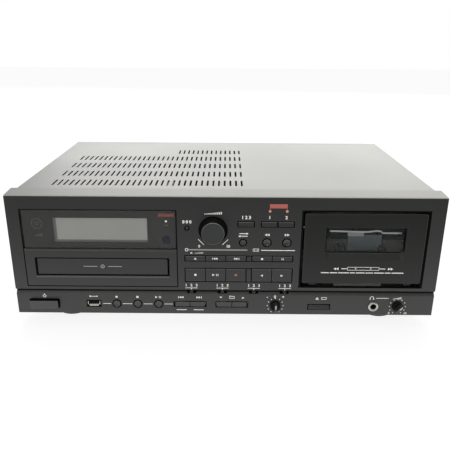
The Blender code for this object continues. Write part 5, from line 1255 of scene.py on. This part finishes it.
makeRecordLamps(recordLamps)


# cassette door: bevelled shell, and what shows behind its glass
door = {
    "edge": 0.45,
    "eyeDistance": 507.6,    # from the camera to the face
    "eyeAside": 2.8,
    "eyeDrop": -154.3,
    "leafAcross": (104.0, 175.5),
    "leafDrop": 35.2,
    "leafDepth": 8.0,
    "leafHeight": 1.7,
    "lump": (150.0, 5.0, 1.2),    # centre, half width, rise
    "gasketRim": ((99.6, 180.6), (30.5, 59.0), (1.53, 1.78), 1.5),
    "gasketHole": ((101.3, 178.9), (31.6, 57.7), (0.5, 3.0), 0.8),
    "wellCover": ((84.0, 194.6), (15.0, 100.5), (19.4, 20.6), 2.0),
    "headHole": ((112.5, 165.9), (83.5, 103.0), (17.4, 22.6)),
    "holes": (
        ("reel_spindle_left", 5.6, 48), ("reel_spindle_right", 5.6, 48), ("capstan_left", 4.0, 32),
        ("capstan_right", 4.0, 32),
    ),
}

# flat pieces behind the glass, as the camera sees them: across, drops, depth, thickness, corner, rim
behindGlass = (
    ("cassette_spring_catch", catchPlastic, (122.0, 138.0), (36.3, 40.2), 9.5, 1.0, 0.4, 0.25),
    ("cassette_sight_pad", padPlastic, (122.5, 156.0), (38.5, 55.5), 12.5, 0.6, 0.3, 0.15),
    # a black sheet behind the glass: painted shadow for the dark band under the holder
    ("cassette_painted_shade_sheet", recessShade, (100.5, 179.5), (32.5, 43.4), 13.3, 0.6, 0.4, 0.15),
)


# the real place, at a depth, of something that the camera sees at x, drop on the face
def seenAt(x, drop, depth):
    aside, above = door["eyeAside"], door["eyeDrop"]
    share = 1 + depth / door["eyeDistance"]
    return aside + (x - aside) * share, above + (drop - above) * share


def makeLeafSpring(values):
    depth = values["leafDepth"]
    (left, drop), (right, _) = (seenAt(x, values["leafDrop"], depth) for x in values["leafAcross"])
    grid = {"x_subdivisions": 48, "y_subdivisions": 2, "size": 1}
    leaf = startPiece("cassette_leaf_spring", bpy.ops.mesh.primitive_grid_add, **grid)
    leaf.scale = ((right - left) * mm, values["leafHeight"] * mm, 1.0)
    leaf.rotation_euler = facings["front"]
    leaf.location = spot((left + right) / 2, drop, depth)
    settle(leaf)
    middle, half, rise = values["lump"]
    middle, _ = seenAt(middle, drop, depth)
    for point in leaf.data.vertices:
        aside = (point.co.x / mm - middle) / half
        lift = rise * math.exp(-aside * aside)
        sag = 1.5 if point.co.x / mm > middle + half else 0.35 * math.cos(point.co.x / mm * 0.09)
        point.co.z += (lift - sag) * mm
        point.co.y -= 0.6 * lift * mm
    applyModifier(leaf, "SOLIDIFY", thickness=0.35 * mm)
    applyModifier(leaf, "BEVEL", width=0.08 * mm, segments=2, limit_method="ANGLE")
    mount(dress(leaf, springSteel), "door", "plated_steel")


# the slopes of the sight opening, round the glass, get a shaded copy of the door plastic
def isSightSlope(face):
    inSight = 32 < dropOf(face) < 68 and 96 < face.center.x / mm < 184
    return inSight and face.normal.y < -0.05 and face.normal.z > 0.1


def makeDoor(values):
    shell = refined("cassette_door", "cassette_door_shell", doorPlastic, values["edge"], 3, 40)
    dress(shell, doorPlastic, slopeShadedPlastic)
    paintFaces(shell, 1, isSightSlope)
    mount(shell, "door", "fascia", "cassette_door")
    makeLeafSpring(values)
    for name, material, across, drops, depth, thickness, corner, rim in behindGlass:
        (left, top), (right, foot) = (seenAt(x, drop, depth) for x, drop in zip(across, drops))
        plate = slab(name, (left, right), (top, foot), (depth, depth + thickness), corner, rim)
        mount(dress(plate, material), "door", "inner_plastic")
    # the gasket takes the painted shade black, for the shaded gap round the glass
    gasket = slab("door_glass_gasket", *values["gasketRim"])
    carve(gasket, slab("gasketCut", *values["gasketHole"]))
    mount(dress(gasket, recessShade), "door", "fascia")
    well = slab("cassette_well_cover", *values["wellCover"])
    carve(well, slab("headCut", *values["headHole"]))
    for node, radius, steps in values["holes"]:
        middle = spot(*middleOf(node), values["wellCover"][2][1])
        carve(well, turned("wellCut", middle, "front", ((radius, -2.0), (radius, 4.0)), steps))
    softenEdges(well, 0.2)
    mount(dress(well, wellPlastic), "case", "inner_plastic")


makeDoor(door)
print("cassette door made")


# everything else keeps its node's shape: fine edges where it shows, rounded from the angle given
finePieces = {
    32: (
        ("display_window", "smoked_display_window", smokedWindow, 0.3, "case", "smoked_window"),
        ("disc_tray", "disc_tray_shell", trayPlastic, 0.35, "tray", "inner_plastic"),
        ("disc_drive_frame", "disc_drive_deck", platedSteel, 0.2, "case", "plated_steel"),
        # the USB socket's shell takes the painted recess shade
        ("usb_socket", "usb_socket_shell", recessShade, 0.12, "case", "socket_metal"),
        ("phones_jack", "phones_jack_barrel", innerPlastic, 0.1, "case", "socket_metal"),
        ("door_window", "cassette_door_glass", clearWindow, 0.2, "door", "clear_window"),
        ("cassette_holder", "cassette_holder_frame", innerPlastic, 0.2, "door", "inner_plastic"),
    ),
    40: (
        ("mains_inlet", "mains_inlet_fine", innerPlastic, 0.3, "case", "inner_plastic"),
        ("disc_spindle", "disc_spindle_fine", innerPlastic, 0.2, "disc_spindle", "inner_plastic"),
        ("reel_spindle_left", "reel_spindle_left_fine", reelPlastic, 0.2, "reel_spindle_left",
         "inner_plastic"),
        ("reel_spindle_right", "reel_spindle_right_fine", reelPlastic, 0.2, "reel_spindle_right",
         "inner_plastic"),
        ("capstan_left", "capstan_left_fine", platedSteel, 0.15, "capstan_left", "plated_steel"),
        ("capstan_right", "capstan_right_fine", platedSteel, 0.15, "capstan_right", "plated_steel"),
        ("head_block", "head_block_fine", springSteel, 0.2, "head_block", "plated_steel"),
        ("foot_front_left", "foot_front_left_pad", footRubber, 0.5, "case", "foot"),
        ("foot_front_right", "foot_front_right_pad", footRubber, 0.5, "case", "foot"),
        ("foot_rear_left", "foot_rear_left_pad", footRubber, 0.5, "case", "foot"),
        ("foot_rear_right", "foot_rear_right_pad", footRubber, 0.5, "case", "foot"),
    ),
}
bareNodes = {
    "display_board": boardGreen,
    "main_board": boardGreen,
    "chassis": platedSteel,
    "tape_mechanism_plate": platedSteel,
    "power_transformer": transformerIron,
}
for angle, rows in finePieces.items():
    for node, name, material, edge, body, slot in rows:
        mount(refined(node, name, material, edge, 2, angle), body, slot, node)
for node, material in bareNodes.items():
    dress(frame["nodes"][node], material)


# the rear wall's inner face, seen through the vents, gets painted shade
def makeRearWall():
    wall = refined("rear_panel", "rear_wall", platedSteel, 0.12)
    wall.data.materials.append(innerShadeSteel)
    paintFaces(wall, 1, lambda face: face.normal.y < -0.5)
    mount(wall, "case", "plated_steel", "rear_panel")


makeRearWall()


# rear jacks: a coloured collar round each, white above and red below
rearJacks = {
    "columns": (-153.85, -134.85, -115.85),
    "rows": ((53.95, "white"), (70.45, "red")),
    "base": 263.35,
    "rings": ((5.9, 0.0), (5.9, 1.4), (5.5, 1.9), (4.4, 1.9), (4.4, 1.0)),
}


def makeRearJacks(values):
    block = refined("rear_jack_block", "rear_jack_block_fine", innerPlastic, 0.15, 2, 40)
    block.data.materials.append(socketMetal)
    places = [(column, row) for column in values["columns"] for row, _ in values["rows"]]

    def nearJack(face):
        reach = min(math.hypot(face.center.x / mm - column, dropOf(face) - row) for column, row in places)
        return depthOf(face) > values["base"] + 0.3 and reach < 4.5

    paintFaces(block, 1, nearJack)
    mount(block, "case", "socket_metal", "rear_jack_block")
    for row, colour in values["rows"]:
        collars = [
            turned("collar", spot(column, row, values["base"]), "rear", values["rings"], 32)
            for column in values["columns"]
        ]
        mount(dress(joinAll(colour + "_jack_collars", collars), jackCollars[colour]), "case", "socket_metal")


makeRearJacks(rearJacks)


# flat ribbon cables from the display board back over the drive and to the main board: across, and
# (depth, drop) at each bend
ribbons = {
    "drive_ribbon_cable": ((-71.0, -52.5), (
        (10.5, 24.0), (12.5, 11.0), (19.0, 6.4), (34.0, 5.0), (66.0, 6.0), (96.0, 11.0), (112.0, 36.0),
        (116.0, 64.5),
    )),
    "board_ribbon_cable": ((-3.0, 15.0), (
        (10.5, 24.0), (12.5, 12.0), (19.0, 7.4), (34.0, 6.4), (60.0, 7.4), (78.0, 16.0), (88.0, 48.0),
        (92.0, 79.6),
    )),
}


def makeRibbon(name, across, bends):
    grid = {"x_subdivisions": 1, "y_subdivisions": 42, "size": 1}
    ribbon = startPiece(name, bpy.ops.mesh.primitive_grid_add, **grid)
    for point in ribbon.data.vertices:
        along = (point.co.y + 0.5) * (len(bends) - 1)
        first = min(int(along), len(bends) - 2)
        share = along - first
        depth, drop = (bends[first][part] * (1 - share) + bends[first + 1][part] * share for part in (0, 1))
        x = across[0] if point.co.x < 0 else across[1]
        point.co = spot(x, drop, depth)
    applyModifier(ribbon, "SMOOTH", factor=0.5, iterations=3)
    applyModifier(ribbon, "SOLIDIFY", thickness=0.35 * mm)
    mount(dress(ribbon, flatCable), "case", "circuit_board")


for name, (across, bends) in ribbons.items():
    makeRibbon(name, across, bends)

print("rear wall, jacks and ribbons fitted")


# print on the front: bars and arrows (x, drop, width, height, turn), signs and numerals (x, drop, size)
def drawAll(marks, signRows, numerals, depth=0.0):
    drawn = [mark(kind, x, drop, width, height, turn, depth) for kind, x, drop, width, height, turn in marks]
    for kind, x, drop, size in signRows:
        drawn += sign(kind, x, drop, size, depth)
    drawn += [numeral(text, x, drop, size, depth) for text, x, drop, size in numerals]
    return drawn


frontPrint = {
    "marks": (
        ("bar", -24.6, 47.6, 8.4, 0.6, 45), ("bar", -0.4, 47.6, 8.4, 0.6, -45),
        ("bar", 17.4, 38.3, 7.6, 0.75, 0), ("bar", 18.2, 41.0, 7.6, 0.75, 0),
        ("arrow", 21.8, 38.3, 2.2, 2.4, 0), ("arrow", 13.8, 41.0, 2.2, 2.4, 180),
        ("bar", 53.0, 56.1, 34.0, 0.8, 0),
    ),
    "signs": (("rewind", 41.5, 39.4, 2.7), ("wind", 61.5, 39.4, 2.7), ("eject", -34.5, 59.3, 1.9)),
    "numerals": (
        ("0", -26.5, 52.2, 4.0), ("10", 2.6, 52.2, 4.0), ("0 0 0", -38.5, 26.4, 4.4),
        ("1 2 3", 20.3, 21.4, 4.6), ("1", 43.5, 21.2, 4.4), ("2", 60.1, 21.2, 4.4),
    ),
    "switchPitch": 5.4,
}


def makeFrontPrint(values):
    white = drawAll(values["marks"], values["signs"], values["numerals"])
    white += levelBars(-12.5, 17.0, 18.0, 2.6) + levelBars(-27.0, 59.3, 9.0, 1.4)
    white += ringSign(-39.2, 56.0, 1.4, 0.7) + cassetteSign(30.6, 56.0, 5.6, 2.8)
    for place in slidePlaces:
        for index in (-1, 0, 1):
            white.append(numeral(str(index + 2), place + index * values["switchPitch"], 95.6, 4.0))
        white.append(mark("bar", place, 98.6, 12.6, 0.6))
        white.append(mark("bar", place, 99.6, 0.8, 1.6))
    printOn("front_white_print", "case", glowingWhitePrint, white)
    printOn("front_grey_print", "case", greyPrint, [mark("bar", -7.5, 56.0, 59.0, 1.2)])


makeFrontPrint(frontPrint)

# signs on the keys ride with the keys
keySigns = (
    ("disc_eject_key", "eject", -30.7, 65.5, 2.2),
    ("disc_back_key", "skipBack", -10.0, 65.5, 2.4),
    ("disc_forward_key", "skipForward", 10.7, 65.5, 2.4),
    ("tape_stop_key", "stop", 37.15, 65.6, 2.2),
    ("tape_pause_key", "pause", 57.85, 65.6, 2.2),
    ("disc_stop_key", "stop", -30.7, 83.6, 2.4),
    ("disc_play_key", "playPause", -10.0, 83.6, 2.5),
    ("disc_record_key", "dot", 10.7, 83.6, 2.8),
    ("tape_reverse_key", "back", 37.15, 84.0, 2.5),
    ("tape_play_key", "play", 57.85, 84.0, 2.5),
)
keyFace = -0.3
for node, kind, x, drop, size in keySigns:
    ink = redPrint if node == "disc_record_key" else glowingWhitePrint
    printOn(node + "_sign", node, ink, sign(kind, x, drop, size, keyFace))
print("signs printed")


# marks on the lower strip
stripPrint = {
    "marks": (
        ("bar", -188.5, 107.9, 0.7, 2.2, 0), ("bar", -137.5, 109.6, 6.4, 0.6, 0),
        ("arrow", -133.4, 109.6, 1.6, 2.0, 0), ("dot", -141.0, 109.6, 1.9, 1.9, 0),
        ("arrow", -4.5, 110.0, 1.9, 3.0, 90), ("bar", 5.3, 108.3, 1.8, 0.9, 0),
        ("arrow", 18.5, 110.0, 1.9, 3.0, -90), ("bar", 151.2, 110.3, 1.0, 1.8, 0),
        ("bar", 154.8, 110.3, 1.0, 1.8, 0), ("bar", 164.0, 109.6, 13.0, 0.6, 0),
    ),
    "signs": (
        ("dot", -113.5, 110.0, 2.4), ("stop", -91.6, 110.0, 2.5), ("playPause", -69.7, 110.0, 2.5),
        ("skipBack", -45.5, 110.0, 2.6), ("skipForward", -28.0, 110.0, 2.6), ("eject", 96.0, 110.4, 2.8),
    ),
    "numerals": (("-     0     +", 52.5, 109.0, 4.4), ("0", 172.3, 127.0, 3.2), ("10", 189.3, 127.0, 3.2)),
    "dials": ((52.5, 8.3), (180.5, 8.4)),    # x and radius of the pitch scale and the phones scale
    "underRocker": ((-51.0, -40.5), (-33.0, -22.5)),
    "betweenButtons": ((-128.0, -119.5), (-107.5, -97.5), (-85.5, -76.0), (-63.5, -55.0)),
}


def makeStripPrint(values):
    depth = stripFace
    white = drawAll(values["marks"], values["signs"], values["numerals"], depth)
    white += ringSign(-188.5, 109.4, 1.5, 0.65, 40, 320, depth)
    white += ringSign(153.0, 109.6, 1.9, 0.6, -90, 90, depth)
    white += boxOutline(7.0, 109.8, 5.0, 2.3, 0.6, depth) + boxOutline(103.0, 110.2, 5.0, 2.2, 0.55, depth)
    white += rules(values["underRocker"], 124.6, 0.8, depth)
    white += rules(values["betweenButtons"], 118.0, 0.6, depth)
    white += levelBars(179.5, 109.4, 9.0, 2.4, depth)
    for middle, radius in values["dials"]:
        for turn in range(-150, 151, 30):
            angle = math.radians(turn)
            place = middle + radius * math.sin(angle), 119.0 - radius * math.cos(angle)
            white.append(mark("dot", *place, 1.1, 1.1, 0.0, depth))
    printOn("strip_white_print", "case", glowingWhitePrint, white)


makeStripPrint(stripPrint)

doorPrint = {
    "depth": -1.5,
    "arrows": ((118.0, 123.5), (157.0, 162.5)),
    "lineStart": 97.0,
    "line": (9.0, 8.5, 12.0, 6.0, 10.0, 8.5, 11.0, 7.0, 13.0),    # a broken rule, each dash with its gap
}


def makeDoorPrint(values):
    depth = values["depth"]
    white = sign("rewind", 112.5, 75.2, 2.9, depth) + sign("wind", 168.0, 75.2, 2.9, depth)
    white += cassetteSign(140.2, 75.0, 32.0, 3.2, depth) + rules(values["arrows"], 75.0, 0.8, depth)
    edge = values["lineStart"]
    for length in values["line"]:
        white.append(mark("bar", edge + length / 2, 79.6, length - 0.9, 0.95, 0.0, depth))
        edge += length
    printOn("door_white_print", "door", glowingWhitePrint, white)


makeDoorPrint(doorPrint)
print("strip and door printed")

for stock in markShapes.values():
    bpy.data.objects.remove(stock)
